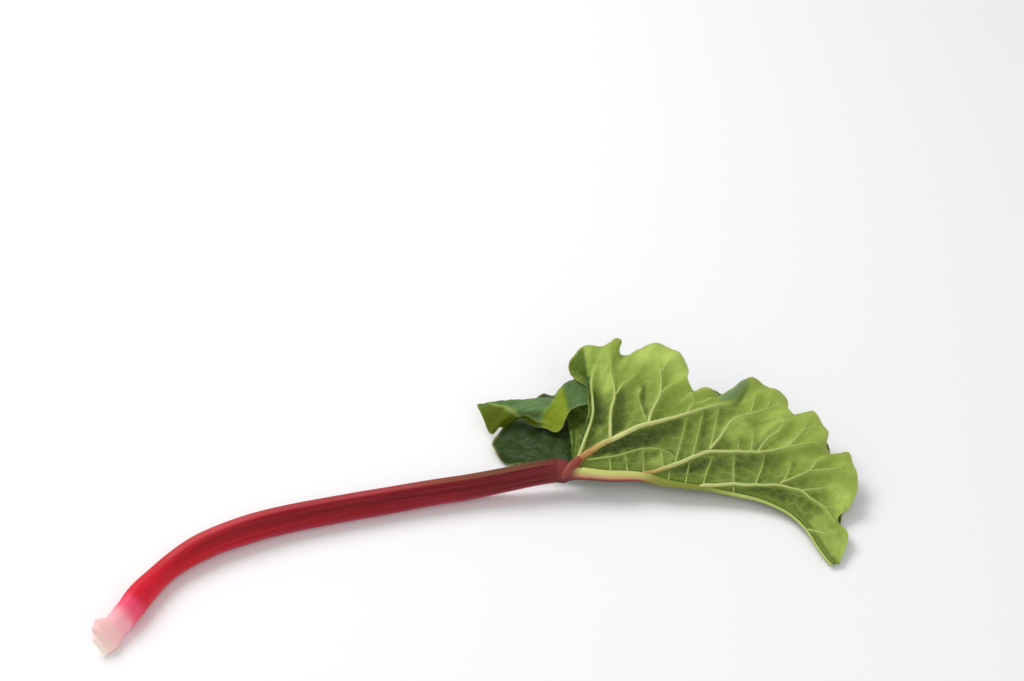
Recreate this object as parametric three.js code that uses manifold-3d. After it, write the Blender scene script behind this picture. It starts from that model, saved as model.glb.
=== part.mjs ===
// Rhubarb stalk with its folded leaf, lying on a table. Millimetres, +Z up, +X towards the leaf tip.
import * as THREE from 'three';
import Module from 'manifold-3d';

// ---- sizes ---------------------------------------------------------------------------------------
const CENTRE = [-17.7, -199.4];     // middle of the whole object in the drawing frame below
const BLADE_THICK = 0.9;            // leaf blade
const GAP = 0.4;                    // clearance between ribs and blade
const TABLE_GAP = 0.1;              // the blade stays this far above the table
const COLUMN_STEP = 6.8;            // spacing of the blade columns along the leaf margin
const FIRST_COLUMN = 5.4;           // distance of the first column from the leaf tip
const ROWS = 11;                    // rows of each half from fold to margin
const FOLD_TURN = [135, 180, 225];  // degrees round the fold at which its turn has rows
const FOLD_RADIUS = 2.0;            // half distance between the two halves at the fold, by the knuckle
const FOLD_RADIUS_TIP = 1.0;        // and at the tip
const RUFFLE = 1.6;                 // height of the small waves at the margin
const RUFFLE_LENGTH = 23;           // length of one small wave
const WAVE_FADE = 3;                // how quickly the margin's waves fade towards the fold
const EVEN_STRETCH = 34;            // length of margin over which its waves are evened out
const EVEN_STRETCH_LOBE = 8;
const EVEN_SHARE = 0.45;            // and at most this share of the way from the fold to the margin
const EVEN_SAMPLES = 6;
const FULL_SWELL = 60;              // width of the blade from fold to margin at which it swells fully
const FULL_WAVE = 40;               // and width at which its waves and hollows are full
const NEAR_HOLLOW = 5.0;            // depth of the hollows between the ribs
const FAR_HOLLOW = -1.5;
const HOLLOW_REACH = 8;             // distance from a rib at which a hollow is deep

// ---- stalk: centre line on the table, widths and turn of the flat side -------------------------
const STALK_PATH = [[-291, -344], [-275, -317], [-264, -294], [-250, -271], [-230, -252.5],
  [-206, -238], [-164, -220.5], [-90, -200.5], [-36, -188.5], [4, -182], [34, -177]];
const STALK_WIDTH = [[0, 17], [0.006, 22.5], [0.02, 25], [0.045, 18.5], [0.08, 19.5], [0.11, 20.5],
  [0.2, 17.5], [0.3, 20.5], [0.4, 22], [0.6, 21.3], [0.8, 20], [1, 18.5]];
const STALK_DEPTH = [[0, 5.5], [0.006, 9], [0.02, 11], [0.05, 12.5], [0.1, 14.5], [0.2, 14.5], [0.3, 16],
  [0.6, 15.5], [1, 14.5]];
const STALK_TURN = [[0, -42], [0.1, -26], [0.25, -12], [0.5, -8], [1, -8]];
const STALK_LIFT = [[0, 0.2], [0.12, 0.9], [0.3, 0.3], [0.5, -0.6], [0.64, -0.6], [0.8, 1.0], [1, 9]];
const STALK_RINGS = 50;
const BUTT_STOPS = [0, 0.004, 0.01];   // rings of the rounded butt, in shares of the stalk's length
// half of the D-shaped section: across, then depth, from the flat side round to the rounded back
const SECTION = [[0, 0.3], [0.22, 0.31], [0.38, 0.35], [0.46, 0.35], [0.5, 0.25], [0.5, 0.08],
  [0.47, -0.12], [0.4, -0.27], [0.29, -0.38], [0.15, -0.44], [0, -0.46]];

// ---- leaf: midrib, margins and fold -------------------------------------------------------------
const MIDRIB = [[46, -178, 19.5], [71, -182, 19], [97, -181, 17], [118, -186, 15], [143, -189, 13],
  [162, -192.5, 11], [171, -194, 10], [189, -199.5, 9], [207, -210, 7], [219, -226, 6], [226, -243, 5],
  [233, -258, 4], [240, -267, 3.2]];
const MIDRIB_RADIUS = [[0, 4.6], [0.15, 4.3], [0.25, 3.6], [0.35, 2.4], [0.5, 1.5], [0.7, 1.1], [1, 0.9]];
const MIDRIB_SIDES = 12;
const MIDRIB_RINGS = 28;
const MIDRIB_START = 0.03;
const MIDRIB_END = 0.97;            // share of the fold over which the midrib stands out

// upper half: margin from the tip round to the notch beside the stalk
const NEAR_MARGIN = [[241, -265, 4], [242, -258, 5], [249, -241, 8], [249, -229, 9], [244, -220, 7],
  [246, -214, 8], [255, -206, 12], [261, -192, 14], [262, -181, 16], [260, -169, 20], [257, -160, 22],
  [248, -160, 20], [241, -153, 22], [243, -143, 28], [239, -135, 30], [232, -124, 33], [226, -123, 32],
  [218, -125, 29], [214, -119, 31], [213, -112, 36], [201, -106, 41], [190, -102, 46], [181, -103, 46],
  [172, -116, 36], [166, -115, 38], [149, -109, 44], [142, -111, 42], [136, -104, 47], [137, -95, 52],
  [130, -84, 57], [119, -77, 60], [106, -75, 58], [99, -76, 56], [94.5, -78, 53], [91, -80, 50.5],
  [86, -77.5, 50.5], [84, -74, 54], [86, -71.5, 59], [81, -71.5, 61], [75, -74.5, 60], [64, -78, 59.5],
  [52, -79.5, 58.5]];
// the curled lobe at its base: margin first under the rib and out beside the stalk, then back along its top
const NEAR_LOBE = [[44, -88, 48], [48, -94, 42], [64, -104, 36], [60, -116, 32], [47, -118, 31],
  [38, -130, 20], [26, -126, 15], [14, -116, 14], [5, -112, 14], [-11, -115, 7], [-16, -119, 4],
  [-21, -114, 12], [-27, -103, 21], [-14, -102, 20]];
// two lines the lobe is drawn through, a third and two thirds of the way from the knuckle to its margin:
// the bend where it leaves the knuckle and the crest where it folds over; the first two points of each
// belong to the last two margin points before the lobe
const NEAR_LOBE_BEND = [[58.5, -139, 38.5], [58.5, -139, 36.5], [58.5, -140, 31], [60.5, -138, 28],
  [61, -133, 23.5], [61, -122, 20], [57, -118, 19], [53, -113, 18], [51, -110, 17.5],
  [48, -108, 17], [46, -105, 16.5], [45, -104, 16.5], [43, -103, 16.5], [42, -101, 16.5],
  [40, -99, 16], [38, -97, 15.5]];
const NEAR_LOBE_CREST = [[58.5, -108, 49.5], [58.5, -108, 47.5], [58.5, -103, 43], [60.5, -108, 38.5],
  [65, -111, 31], [60, -92, 36], [44, -95, 35], [34, -107, 31], [29, -114, 27], [23, -116, 26],
  [16, -115, 25.5], [9, -113, 25], [4, -110, 24.5], [0, -107, 24], [0, -103, 22.5],
  [6, -99, 20.5]];
const LOBE_LEAD = 2;                // margin points before the lobe that the two lines start with
const LOBE_BLEND = 4;               // margin points over which the blade turns from plain to drawn
// where on the midrib the side ribs that run to a margin point leave: margin point, share from the knuckle
const NEAR_FEET = [[0, 1], [4, 0.85], [9, 0.5], [13, 0.27], [23, 0]];
const NEAR_BELLY = 6;               // how much the upper half swells between fold and margin

// lower half: margin from the tip round to its notch, lying on the table
const FAR_MARGIN = [[241, -265, 2.4], [243, -252, 3], [248, -236, 4], [246, -222, 3], [250, -206, 7],
  [258, -186, 1], [255, -167, 10], [247, -157, 1], [244, -139, 10], [233, -125, 1], [222, -110, 11],
  [205, -102, 1], [195, -86, 11], [177, -82, 1], [160, -72, 10], [148, -77, 1], [132, -62, 11],
  [112, -54, 1], [92, -56, 11], [72, -52, 1], [52, -62, 10], [36, -68, 1], [20, -82, 10], [6, -94, 1],
  [-4, -110, 9], [-14, -124, 1], [-15, -136, 8], [-9, -147, 3], [0, -153, 5]];
const FAR_FEET = [[0, 1], [2, 0.85], [6, 0.5], [9, 0.27], [15, 0]];
const FAR_SAG = -2;

// ribs seen from above: width at the foot, width at the end, then the line they follow
const NEAR_RIBS = [
  [5.2, 1.4, [46, -174], [50, -171.5], [54, -167], [67, -159], [82, -152], [98, -145], [113, -141], [134, -135],
    [149, -129], [166, -124]],
  [2.8, 1.2, [46, -173], [51, -166.2], [55, -156], [60.5, -140], [62, -131], [61.5, -120], [61.5, -111],
    [64, -95]],
  [3.4, 1.1, [94, -181], [105, -178], [122, -173.5], [133, -170], [143, -166], [151, -164], [166, -164.6],
    [181, -165], [193, -164], [211, -159], [231, -153], [237, -153]],
  [3.0, 1.0, [141, -189], [150, -187.5], [165, -187.3], [180, -188.6], [195, -190], [202, -191], [210, -194], [218, -197],
    [224, -203], [234, -211], [241, -222]],
  [1.5, 0.9, [219.5, -227], [225, -230], [233, -235], [241, -233]],
  [2.4, 1.0, [150, -163], [159, -152], [167, -140], [172, -135], [183, -130], [194, -125], [206, -119]],
  [1.4, 0.9, [184, -129], [186, -121], [191, -111]],
  [1.3, 0.9, [197, -123], [201, -113]],
  [1.7, 0.9, [187, -165], [195, -153], [205, -145], [210, -136]],
  [1.5, 0.9, [210, -159], [217, -152], [224, -142], [228, -134]],
  [1.2, 0.9, [224, -142], [234, -138], [240, -139]],
  [1.8, 0.9, [202, -190], [213, -186], [225, -180], [232, -171], [239, -167]],
  [1.4, 0.9, [225, -180], [241, -178], [250, -175], [255, -170]],
  [1.4, 0.9, [218, -197], [230, -196], [243, -194]],
  [2.6, 1.1, [75, -155], [75, -144], [76, -133], [79, -120], [77, -104], [76, -84]],
  [1.6, 0.9, [79, -120], [85, -113], [90, -109], [95, -105]],
  [2.4, 1.0, [104, -143], [107, -134], [111, -126], [114, -120], [115, -105], [113, -94]],
  [1.3, 0.9, [115, -103], [121, -95], [125, -91]],
  [1.6, 0.9, [114, -120], [119, -115], [129, -108]],
  [1.5, 0.9, [134, -135], [140, -124], [139, -120], [137, -114]],
  [1.2, 0.9, [138.5, -125.5], [148, -121], [151.5, -120.7]],
];
// the fine cross ribs between them
const NEAR_RUNGS = [
  [[56, -169], [69, -168], [81, -166], [90, -163], [100, -160], [113, -160], [120, -163], [125, -170]],
  [[75, -178], [74, -165]], [[88, -181], [86, -162]], [[100, -181], [100, -158]], [[115, -176], [113, -157]],
  [[124, -172], [128, -157], [134, -137]], [[137, -168.5], [142, -148], [147, -131]],
  [[151, -162], [155, -144], [159, -127]], [[118, -186], [120, -176]],
  [[131, -188], [133, -179], [135, -170]], [[144, -189], [148, -177], [153, -167]],
  [[168, -189], [168, -177], [169, -166]], [[184, -189], [190, -173], [192, -165]],
  [[205, -189], [209, -180], [212, -170]], [[172, -165], [173, -152]],
  [[182, -165], [184, -150], [185, -142]], [[103, -142], [99, -127], [97, -119], [100, -114]],
  [[234, -210], [249, -210]],
];
const FAR_RIBS = [
  [4.0, 1.5, [48, -174], [60, -156], [82, -138], [120, -112], [152, -90]],
  [3.2, 1.3, [47, -176], [50, -158], [52, -135], [50, -100], [48, -78]],
  [3.2, 1.2, [96, -184], [104, -177], [140, -160], [190, -140], [222, -124]],
  [2.6, 1.1, [143, -190], [152, -184], [190, -180], [225, -176], [246, -180]],
  [2.0, 1.1, [82, -138], [88, -100], [90, -72]],
  [1.8, 1.0, [120, -112], [124, -84]],
  [1.8, 1.0, [140, -160], [165, -125], [172, -96]],
  [1.6, 1.0, [190, -140], [204, -118]],
  [2.0, 1.0, [51, -145], [30, -118], [14, -104]],
];
const RUNG_WIDTH = [1.1, 0.9];
const RIB_STEP = 7;                 // spacing of the sections of a rib
const RUNG_STEP = 9;
const RIB_FLARE = 3;                // the second section, where it leaves what it grows from
const ROOT_REACH = 6;               // a rib that starts this near the midrib grows out of it
const STEEPEST = 0.4;               // steepest slope of the blade that a rib's clearance allows for
const BETWEEN = [0.25, 0.5, 0.75];  // where the blade is felt for between two sections of a rib
const RIB_FEET = [-0.55, 0, 0.55];  // the feet of a rib's section, in shares of its width
const RIB_CROWN = [[-0.4, 0.42], [0, 0.62], [0.4, 0.42]];   // its arched top, across and up
const RUNG_CROWN = [[0, 0.6]];
// knuckle where the ribs meet, from the stalk into the midrib: place and radius
const KNUCKLE_START = 8.6;
const KNUCKLE = [[40, -177.5, 18.4, 8.2], [44, -178.4, 18.6, 6.2], [48, -179.3, 18.9, 5],
  [54, -180, 19, 4.6], [64, -181, 19, 4.4]];
// swelling on the knuckle that leads up to the largest rib
const ROOT_RIDGE = [[38.5, -182, 18.5, 2.6], [40, -182, 21.5, 3], [43, -179.5, 23.8, 3.2],
  [47, -174.5, 24.8, 3.2], [51.5, -170, 25.5, 2.6]];

// ---- helpers ------------------------------------------------------------------------------------
const SPAN_STEPS = 24;              // steps in each span of a curve when its length is measured
const NUDGE = 0.1;                  // how far along to each side the direction of a curve is read
const lerp = (a, b, t) => a + (b - a) * t;
const clamp = (v, lo, hi) => Math.min(hi, Math.max(lo, v));
const ease = (t) => t * t * (3 - 2 * t);
const add = (a, b, s = 1) => a.map((v, i) => v + b[i] * s);
const sub = (a, b) => add(a, b, -1);
const mix = (a, b, t) => a.map((v, i) => lerp(v, b[i], t));
const dot = (a, b) => a[0] * b[0] + a[1] * b[1] + a[2] * b[2];
const cross = (a, b) => [a[1] * b[2] - a[2] * b[1], a[2] * b[0] - a[0] * b[2], a[0] * b[1] - a[1] * b[0]];
const length = (a) => Math.hypot(...a);
const unit = (a) => { const l = length(a) || 1; return a.map((v) => v / l); };

// smooth curve through points at index u
function through(points, u) {
  const last = points.length - 1;
  const i = clamp(Math.floor(u), 0, last - 1);
  const t = clamp(u - i, 0, 1);
  const p = [i - 1, i, i + 1, i + 2].map((j) => points[clamp(j, 0, last)]);
  return p[1].map((_, c) => 0.5 * (2 * p[1][c] + (p[2][c] - p[0][c]) * t
    + (2 * p[0][c] - 5 * p[1][c] + 4 * p[2][c] - p[3][c]) * t * t
    + (3 * p[1][c] - p[0][c] - 3 * p[2][c] + p[3][c]) * t * t * t));
}

// direction of that curve at index u
function direction(points, u) {
  const after = through(points, Math.min(u + NUDGE, points.length - 1));
  return unit(sub(after, through(points, Math.max(u - NUDGE, 0))));
}

// value at x from [x, value] pairs, eased between them
function graph(pairs, x) {
  if (x <= pairs[0][0]) return pairs[0][1];
  for (let i = 1; i < pairs.length; i++) {
    if (x <= pairs[i][0]) {
      const t = (x - pairs[i - 1][0]) / (pairs[i][0] - pairs[i - 1][0]);
      return lerp(pairs[i - 1][1], pairs[i][1], ease(t));
    }
  }
  return pairs[pairs.length - 1][1];
}

// value at x from [x, value] pairs, straight between them
function ramp(pairs, x) {
  for (let i = 1; i < pairs.length; i++) {
    if (x <= pairs[i][0] || i === pairs.length - 1) {
      const t = clamp((x - pairs[i - 1][0]) / (pairs[i][0] - pairs[i - 1][0]), 0, 1);
      return lerp(pairs[i - 1][1], pairs[i][1], t);
    }
  }
  return pairs[0][1];
}

// lengths along a curve, so that it can be walked in even steps
function walk(points) {
  const total = (points.length - 1) * SPAN_STEPS;
  const marks = [[0, 0]];
  let run = 0;
  let before = through(points, 0);
  for (let i = 1; i <= total; i++) {
    const here = through(points, i / SPAN_STEPS);
    run += length(sub(here, before));
    marks.push([run, i / SPAN_STEPS]);
    before = here;
  }
  const back = marks.map(([distance, u]) => [u, distance]);
  return { run, at: (distance) => ramp(marks, distance), upTo: (u) => ramp(back, u) };
}

// the faces of a closed body, turned to face out
function outward(points, faces) {
  let volume = 0;
  for (const [a, b, c] of faces) volume += dot(points[a], cross(points[b], points[c]));
  return volume < 0 ? faces.map(([a, b, c]) => [a, c, b]) : faces;
}

function solidFrom(points, faces) {
  const positions = [];
  for (const i of outward(points, faces).flat()) {
    positions.push(points[i][0] - CENTRE[0], points[i][1] - CENTRE[1], points[i][2]);
  }
  const geometry = new THREE.BufferGeometry();
  geometry.setAttribute('position', new THREE.Float32BufferAttribute(positions, 3));
  geometry.computeVertexNormals();
  return geometry;
}

// ---- stalk --------------------------------------------------------------------------------------
function stalkFrame(t, road) {
  const u = road.at(t * road.run);
  const here = through(STALK_PATH, u);
  const ahead = direction(STALK_PATH.map((p) => [...p, 0]), u);
  const back = [-ahead[1], ahead[0], 0];
  const turn = (graph(STALK_TURN, t) * Math.PI) / 180;
  const flat = [back[0] * Math.cos(turn), back[1] * Math.cos(turn), Math.sin(turn)];
  return { here: [here[0], here[1], 0], across: cross(ahead, flat), flat, ahead };
}

function stalkRing(t, road) {
  const { here, across, flat } = stalkFrame(t, road);
  const width = graph(STALK_WIDTH, t);
  const depth = graph(STALK_DEPTH, t);
  const half = SECTION.map(([a, b]) => [a * width, b * depth]);
  const outline = [...half, ...half.slice(1, -1).reverse().map(([a, b]) => [-a, b])];
  const ring = outline.map(([a, b]) => add(add(here, across, a), flat, b));
  const low = Math.min(...ring.map((p) => p[2]));
  const lift = graph(STALK_LIFT, t) - low;
  return ring.map((p) => [p[0], p[1], Math.max(0, p[2] + lift)]);
}

function loft(rings) {
  const n = rings[0].length;
  const points = rings.flat();
  const faces = [];
  for (let i = 0; i + 1 < rings.length; i++) {
    for (let j = 0; j < n; j++) {
      const a = i * n + j;
      const b = i * n + (j + 1) % n;
      faces.push([a, b, b + n], [a, b + n, a + n]);
    }
  }
  const middle = (ring) => ring.reduce((s, p) => add(s, p, 1 / n), [0, 0, 0]);
  const first = points.push(middle(rings[0])) - 1;
  const last = points.push(middle(rings[rings.length - 1])) - 1;
  const top = (rings.length - 1) * n;
  for (let j = 0; j < n; j++) {
    faces.push([first, (j + 1) % n, j], [last, top + j, top + (j + 1) % n]);
  }
  return { points, faces };
}

function buildStalk() {
  const road = walk(STALK_PATH);
  const rings = BUTT_STOPS.map((t) => stalkRing(t, road));
  for (let i = 1; i <= STALK_RINGS; i++) rings.push(stalkRing(i / STALK_RINGS, road));
  return loft(rings);
}

// ---- leaf blade ---------------------------------------------------------------------------------
const NEAR_EDGE = [...NEAR_MARGIN, ...NEAR_LOBE];
const LOBE_START = NEAR_MARGIN.length - LOBE_LEAD;

// point of the midrib and the fold's own directions at share v from the knuckle
const MIDRIB_ROAD = walk(MIDRIB);
function foldAt(v) {
  const u = MIDRIB_ROAD.at(v * MIDRIB_ROAD.run);
  const ahead = direction(MIDRIB, u);
  const back = unit([-ahead[1], ahead[0], 0]);
  const up = cross(ahead, back);
  const radius = graph(MIDRIB_RADIUS, v);
  const opening = lerp(FOLD_RADIUS, FOLD_RADIUS_TIP, v);
  const centre = add(through(MIDRIB, u), back, radius + GAP + BLADE_THICK / 2 + opening);
  return { rib: through(MIDRIB, u), centre, back, up, ahead, opening, radius };
}

function foldPoint(v, degrees) {
  const { centre, back, up, opening } = foldAt(v);
  const a = (degrees * Math.PI) / 180;
  return add(add(centre, back, opening * Math.cos(a)), up, opening * Math.sin(a));
}

// curve from the fold through a middle point to the margin
function ray(start, middle, end, s) {
  return start.map((_, c) => start[c] * (1 - s) * (1 - 2 * s) + middle[c] * 4 * s * (1 - s)
    + end[c] * s * (2 * s - 1));
}

// the margin evened out over a stretch, so that its waves fade towards the fold
function evenMargin(edge, road, distance, stretch) {
  let sum = [0, 0, 0];
  for (let i = -EVEN_SAMPLES; i <= EVEN_SAMPLES; i++) {
    const at = clamp(distance + (stretch * i) / EVEN_SAMPLES, 0, road.run);
    sum = add(sum, through(edge, road.at(at)));
  }
  return sum.map((v) => v / (2 * EVEN_SAMPLES + 1));
}

// point of one half of the blade, at a distance along its margin and share s of the way from the fold
function halfPoint(half, distance, s) {
  const { edge, road, feet, side, swell, hollow, curled, ribs } = half;
  const k = road.at(distance);
  const start = foldPoint(clamp(ramp(feet, k), 0, 1), side);
  const end = through(edge, k);
  const reach = length(sub(end, start));
  const full = clamp(reach / FULL_WAVE, 0, 1);
  const blend = curled ? ease(clamp((k - LOBE_START) / LOBE_BLEND + 1, 0, 1)) : 0;
  const stretch = Math.min(lerp(EVEN_STRETCH, EVEN_STRETCH_LOBE, blend), distance, EVEN_SHARE * reach);
  const even = evenMargin(edge, road, distance, stretch);
  const middle = add(mix(start, even, 0.5), [0, 0, 1], swell * clamp(reach / FULL_SWELL, 0, 1));
  let point = ray(start, middle, even, s);
  if (blend > 0) {
    const [bend, crest] = [NEAR_LOBE_BEND, NEAR_LOBE_CREST].map((line) => through(line, k - LOBE_START));
    point = mix(point, through([start, bend, crest, even], 3 * s), blend);
  }
  const wave = RUFFLE * Math.sin((distance / RUFFLE_LENGTH) * 2 * Math.PI) * full;
  point = add(point, add(sub(end, even), [0, 0, 1], wave), s ** WAVE_FADE);
  const near = ribDistance(ribs, point);
  const sunk = hollow * (1 - Math.exp(-((near / HOLLOW_REACH) ** 2))) * Math.sin(Math.PI * s);
  const height = point[2] - sunk * (1 - blend) * full;
  return [point[0], point[1], Math.max(height, BLADE_THICK / 2 + TABLE_GAP)];
}

// distance in plan from the nearest of the ribs
function ribDistance(ribs, point) {
  let best = Infinity;
  for (const rib of [...ribs, [0, 0, ...MIDRIB]]) {
    const line = rib.slice(2);
    for (let i = 0; i + 1 < line.length; i++) {
      const dx = line[i + 1][0] - line[i][0];
      const dy = line[i + 1][1] - line[i][1];
      const along = (point[0] - line[i][0]) * dx + (point[1] - line[i][1]) * dy;
      const t = clamp(along / (dx * dx + dy * dy), 0, 1);
      best = Math.min(best, Math.hypot(point[0] - line[i][0] - dx * t, point[1] - line[i][1] - dy * t));
    }
  }
  return best;
}

// the blade's middle surface: columns of points and the strips between them
function bladeSheet() {
  const nearRoad = walk(NEAR_EDGE);
  const farRoad = walk(FAR_MARGIN);
  const near = { edge: NEAR_EDGE, road: nearRoad, feet: NEAR_FEET, side: 90, swell: NEAR_BELLY,
    hollow: NEAR_HOLLOW, ribs: NEAR_RIBS, curled: true };
  const far = { edge: FAR_MARGIN, road: farRoad, feet: FAR_FEET, side: 270, swell: FAR_SAG,
    hollow: FAR_HOLLOW, ribs: FAR_RIBS, curled: false };
  const nearTurn = NEAR_FEET[NEAR_FEET.length - 1][0];
  const farTurn = FAR_FEET[FAR_FEET.length - 1][0];
  const points = [];
  const faces = [];
  const put = (p) => points.push(p) - 1;
  const farFoot = (share) => farRoad.upTo(ramp(FAR_FEET.map(([a, b]) => [1 - b, a]), 1 - share));

  const ribRun = nearRoad.upTo(nearTurn);
  const ribColumns = Math.round(ribRun / COLUMN_STEP);
  const columns = [];
  for (let i = 0; i <= ribColumns; i++) {
    const distance = lerp(FIRST_COLUMN, ribRun, i / ribColumns);
    const share = ramp(NEAR_FEET, nearRoad.at(distance));
    const farDistance = farFoot(share);
    const column = [];
    for (let j = ROWS; j >= 0; j--) column.push(put(halfPoint(near, distance, j / ROWS)));
    for (const degrees of FOLD_TURN) column.push(put(foldPoint(share, degrees)));
    for (let j = 0; j <= ROWS; j++) column.push(put(halfPoint(far, farDistance, j / ROWS)));
    columns.push(column);
  }
  const join = (a, b) => {
    for (let j = 0; j + 1 < a.length; j++) {
      if (a[j] !== b[j]) faces.push([a[j], b[j], a[j + 1]]);
      if (a[j + 1] !== b[j + 1]) faces.push([a[j + 1], b[j], b[j + 1]]);
    }
  };
  for (let i = 0; i + 1 < columns.length; i++) join(columns[i], columns[i + 1]);

  // the lobes: columns that all start at the knuckle
  const lastColumn = columns[columns.length - 1];
  const farFirst = ROWS + FOLD_TURN.length + 1;
  const nearKnuckle = lastColumn[ROWS];
  const farKnuckle = lastColumn[farFirst];
  const nearColumns = [lastColumn.slice(0, ROWS + 1)];
  const nearCount = Math.round((nearRoad.run - ribRun) / COLUMN_STEP);
  for (let i = 1; i <= nearCount; i++) {
    const distance = lerp(ribRun, nearRoad.run, i / nearCount);
    const column = [];
    for (let j = ROWS; j > 0; j--) column.push(put(halfPoint(near, distance, j / ROWS)));
    nearColumns.push([...column, nearKnuckle]);
  }
  const farStart = farRoad.upTo(farTurn);
  const farColumns = [lastColumn.slice(farFirst)];
  const farCount = Math.round((farRoad.run - farStart) / COLUMN_STEP);
  for (let i = 1; i <= farCount; i++) {
    const distance = lerp(farStart, farRoad.run, i / farCount);
    const column = [farKnuckle];
    for (let j = 1; j <= ROWS; j++) column.push(put(halfPoint(far, distance, j / ROWS)));
    farColumns.push(column);
  }
  for (let i = 0; i + 1 < nearColumns.length; i++) join(nearColumns[i], nearColumns[i + 1]);
  for (let i = 0; i + 1 < farColumns.length; i++) join(farColumns[i], farColumns[i + 1]);
  return { points, faces };
}

// thicken a sheet evenly, the same triangles on both faces, and close its edge
function thicken({ points, faces }, thick) {
  const normals = points.map(() => [0, 0, 0]);
  for (const [a, b, c] of faces) {
    const n = cross(sub(points[b], points[a]), sub(points[c], points[a]));
    for (const i of [a, b, c]) normals[i] = add(normals[i], n);
  }
  const n = points.length;
  const both = [...points.map((p, i) => add(p, unit(normals[i]), thick / 2)),
    ...points.map((p, i) => add(p, unit(normals[i]), -thick / 2))];
  const solid = [];
  const open = new Map();
  for (const [a, b, c] of faces) {
    solid.push([a, b, c], [a + n, c + n, b + n]);
    for (const [p, q] of [[a, b], [b, c], [c, a]]) {
      if (open.has(`${q},${p}`)) open.delete(`${q},${p}`);
      else open.set(`${p},${q}`, [p, q]);
    }
  }
  for (const [p, q] of open.values()) solid.push([q, p, p + n], [q, p + n, q + n]);
  return { points: both, faces: solid, normals: normals.map(unit) };
}

// ---- ribs ---------------------------------------------------------------------------------------
// height of the blade's middle surface over a spot in plan; the side says which half is meant
function onSheet(sheet, x, y, upper) {
  let best = null;
  for (const [a, b, c] of sheet.faces) {
    const [p, q, r] = [sheet.points[a], sheet.points[b], sheet.points[c]];
    if (Math.max(p[0], q[0], r[0]) < x || Math.min(p[0], q[0], r[0]) > x) continue;
    if (Math.max(p[1], q[1], r[1]) < y || Math.min(p[1], q[1], r[1]) > y) continue;
    const area = (q[0] - p[0]) * (r[1] - p[1]) - (r[0] - p[0]) * (q[1] - p[1]);
    if (upper ? area <= 0 : area >= 0) continue;
    const v = ((x - p[0]) * (r[1] - p[1]) - (r[0] - p[0]) * (y - p[1])) / area;
    const w = ((q[0] - p[0]) * (y - p[1]) - (x - p[0]) * (q[1] - p[1])) / area;
    if (v < 0 || w < 0 || v + w > 1) continue;
    const point = add(add(p, sub(q, p), v), sub(r, p), w);
    if (!best || (upper ? point[2] > best.point[2] : point[2] < best.point[2])) {
      best = { point, normal: unit(cross(sub(q, p), sub(r, p))) };
    }
  }
  return best;
}

// height that the underside of a rib must keep over a spot in plan, and the blade's normal there
function ribFloor(sheet, x, y, upper, centre = [x, y]) {
  const sign = upper ? 1 : -1;
  const { v, away } = nearestMidrib(...centre);
  const fold = foldAt(v);
  const clear = BLADE_THICK / 2 + GAP;
  if (nearestMidrib(x, y).away > fold.radius + clear + fold.opening) {
    const spot = onSheet(sheet, x, y, upper);
    if (spot) {
      const lift = clear / Math.max(STEEPEST, Math.abs(spot.normal[2]));
      return { z: spot.point[2] + sign * lift, normal: spot.normal };
    }
  }
  const rise = (fold.opening + clear) * clamp((2 * away) / fold.radius, 0, 1);
  return { z: fold.rib[2] + sign * rise, normal: [0, 0, sign] };
}

const FOLD_SPOTS = 400;
const FOLD_STATIONS = [...Array(FOLD_SPOTS + 1).keys()].map((i) => {
  const v = i / FOLD_SPOTS;
  return { v, rib: foldAt(v).rib };
});

function nearestMidrib(x, y) {
  let best = { away: Infinity, v: 0 };
  for (const { v, rib } of FOLD_STATIONS) {
    const away = Math.hypot(rib[0] - x, rib[1] - y);
    if (away < best.away) best = { away, v };
  }
  return best;
}

// one raised rib: sections along its line that stand just clear of the blade
function ribBody(sheet, [from, to, ...drawn], upper, shape, step) {
  const root = nearestMidrib(...drawn[0]);
  const line = root.away < ROOT_REACH ? [foldAt(root.v).rib.slice(0, 2), ...drawn.slice(1)] : drawn;
  const road = walk(line);
  const first = 2 * RIB_FLARE;
  const count = Math.max(2, Math.ceil((road.run - first) / step));
  const stops = [0, RIB_FLARE];
  for (let i = 0; i <= count; i++) stops.push(lerp(first, road.run, i / count));
  const sign = upper ? 1 : -1;
  const spots = stops.map((stop) => {
    const u = road.at(stop);
    const here = through(line, u);
    const ahead = direction(line, u);
    const width = lerp(from, to, stop / road.run);
    const feet = RIB_FEET.map((f) => [here[0] - ahead[1] * f * width, here[1] + ahead[0] * f * width]);
    const floors = feet.map(([x, y]) => ribFloor(sheet, x, y, upper, here.slice(0, 2)));
    return { feet, width, normal: floors[1].normal, z: floors.map((f) => f.z), extra: [0, 0, 0] };
  });
  // raise the feet where the blade swells between two sections
  for (let i = 0; i + 1 < spots.length; i++) {
    for (let f = 0; f < RIB_FEET.length; f++) {
      let lack = 0;
      for (const t of BETWEEN) {
        const x = lerp(spots[i].feet[f][0], spots[i + 1].feet[f][0], t);
        const y = lerp(spots[i].feet[f][1], spots[i + 1].feet[f][1], t);
        const need = ribFloor(sheet, x, y, upper).z - lerp(spots[i].z[f], spots[i + 1].z[f], t);
        lack = Math.max(lack, sign * need);
      }
      for (const spot of [spots[i], spots[i + 1]]) spot.extra[f] = Math.max(spot.extra[f], lack);
    }
  }
  const rings = spots.map(({ feet, width, normal, z, extra }) => {
    const [right, middle, left] = feet.map(([x, y], f) => [x, y, z[f] + sign * extra[f]]);
    const half = sub(left, right).map((v) => v / (2 * RIB_FEET[2]));
    const height = Math.max(sign * middle[2], (sign * (left[2] + right[2])) / 2);
    const centre = [middle[0], middle[1], sign * height];
    const crown = shape.map(([a, b]) => add(add(centre, half, a), normal, b * width));
    return [right, ...crown, left];
  });
  return loft(rings);
}

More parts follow.
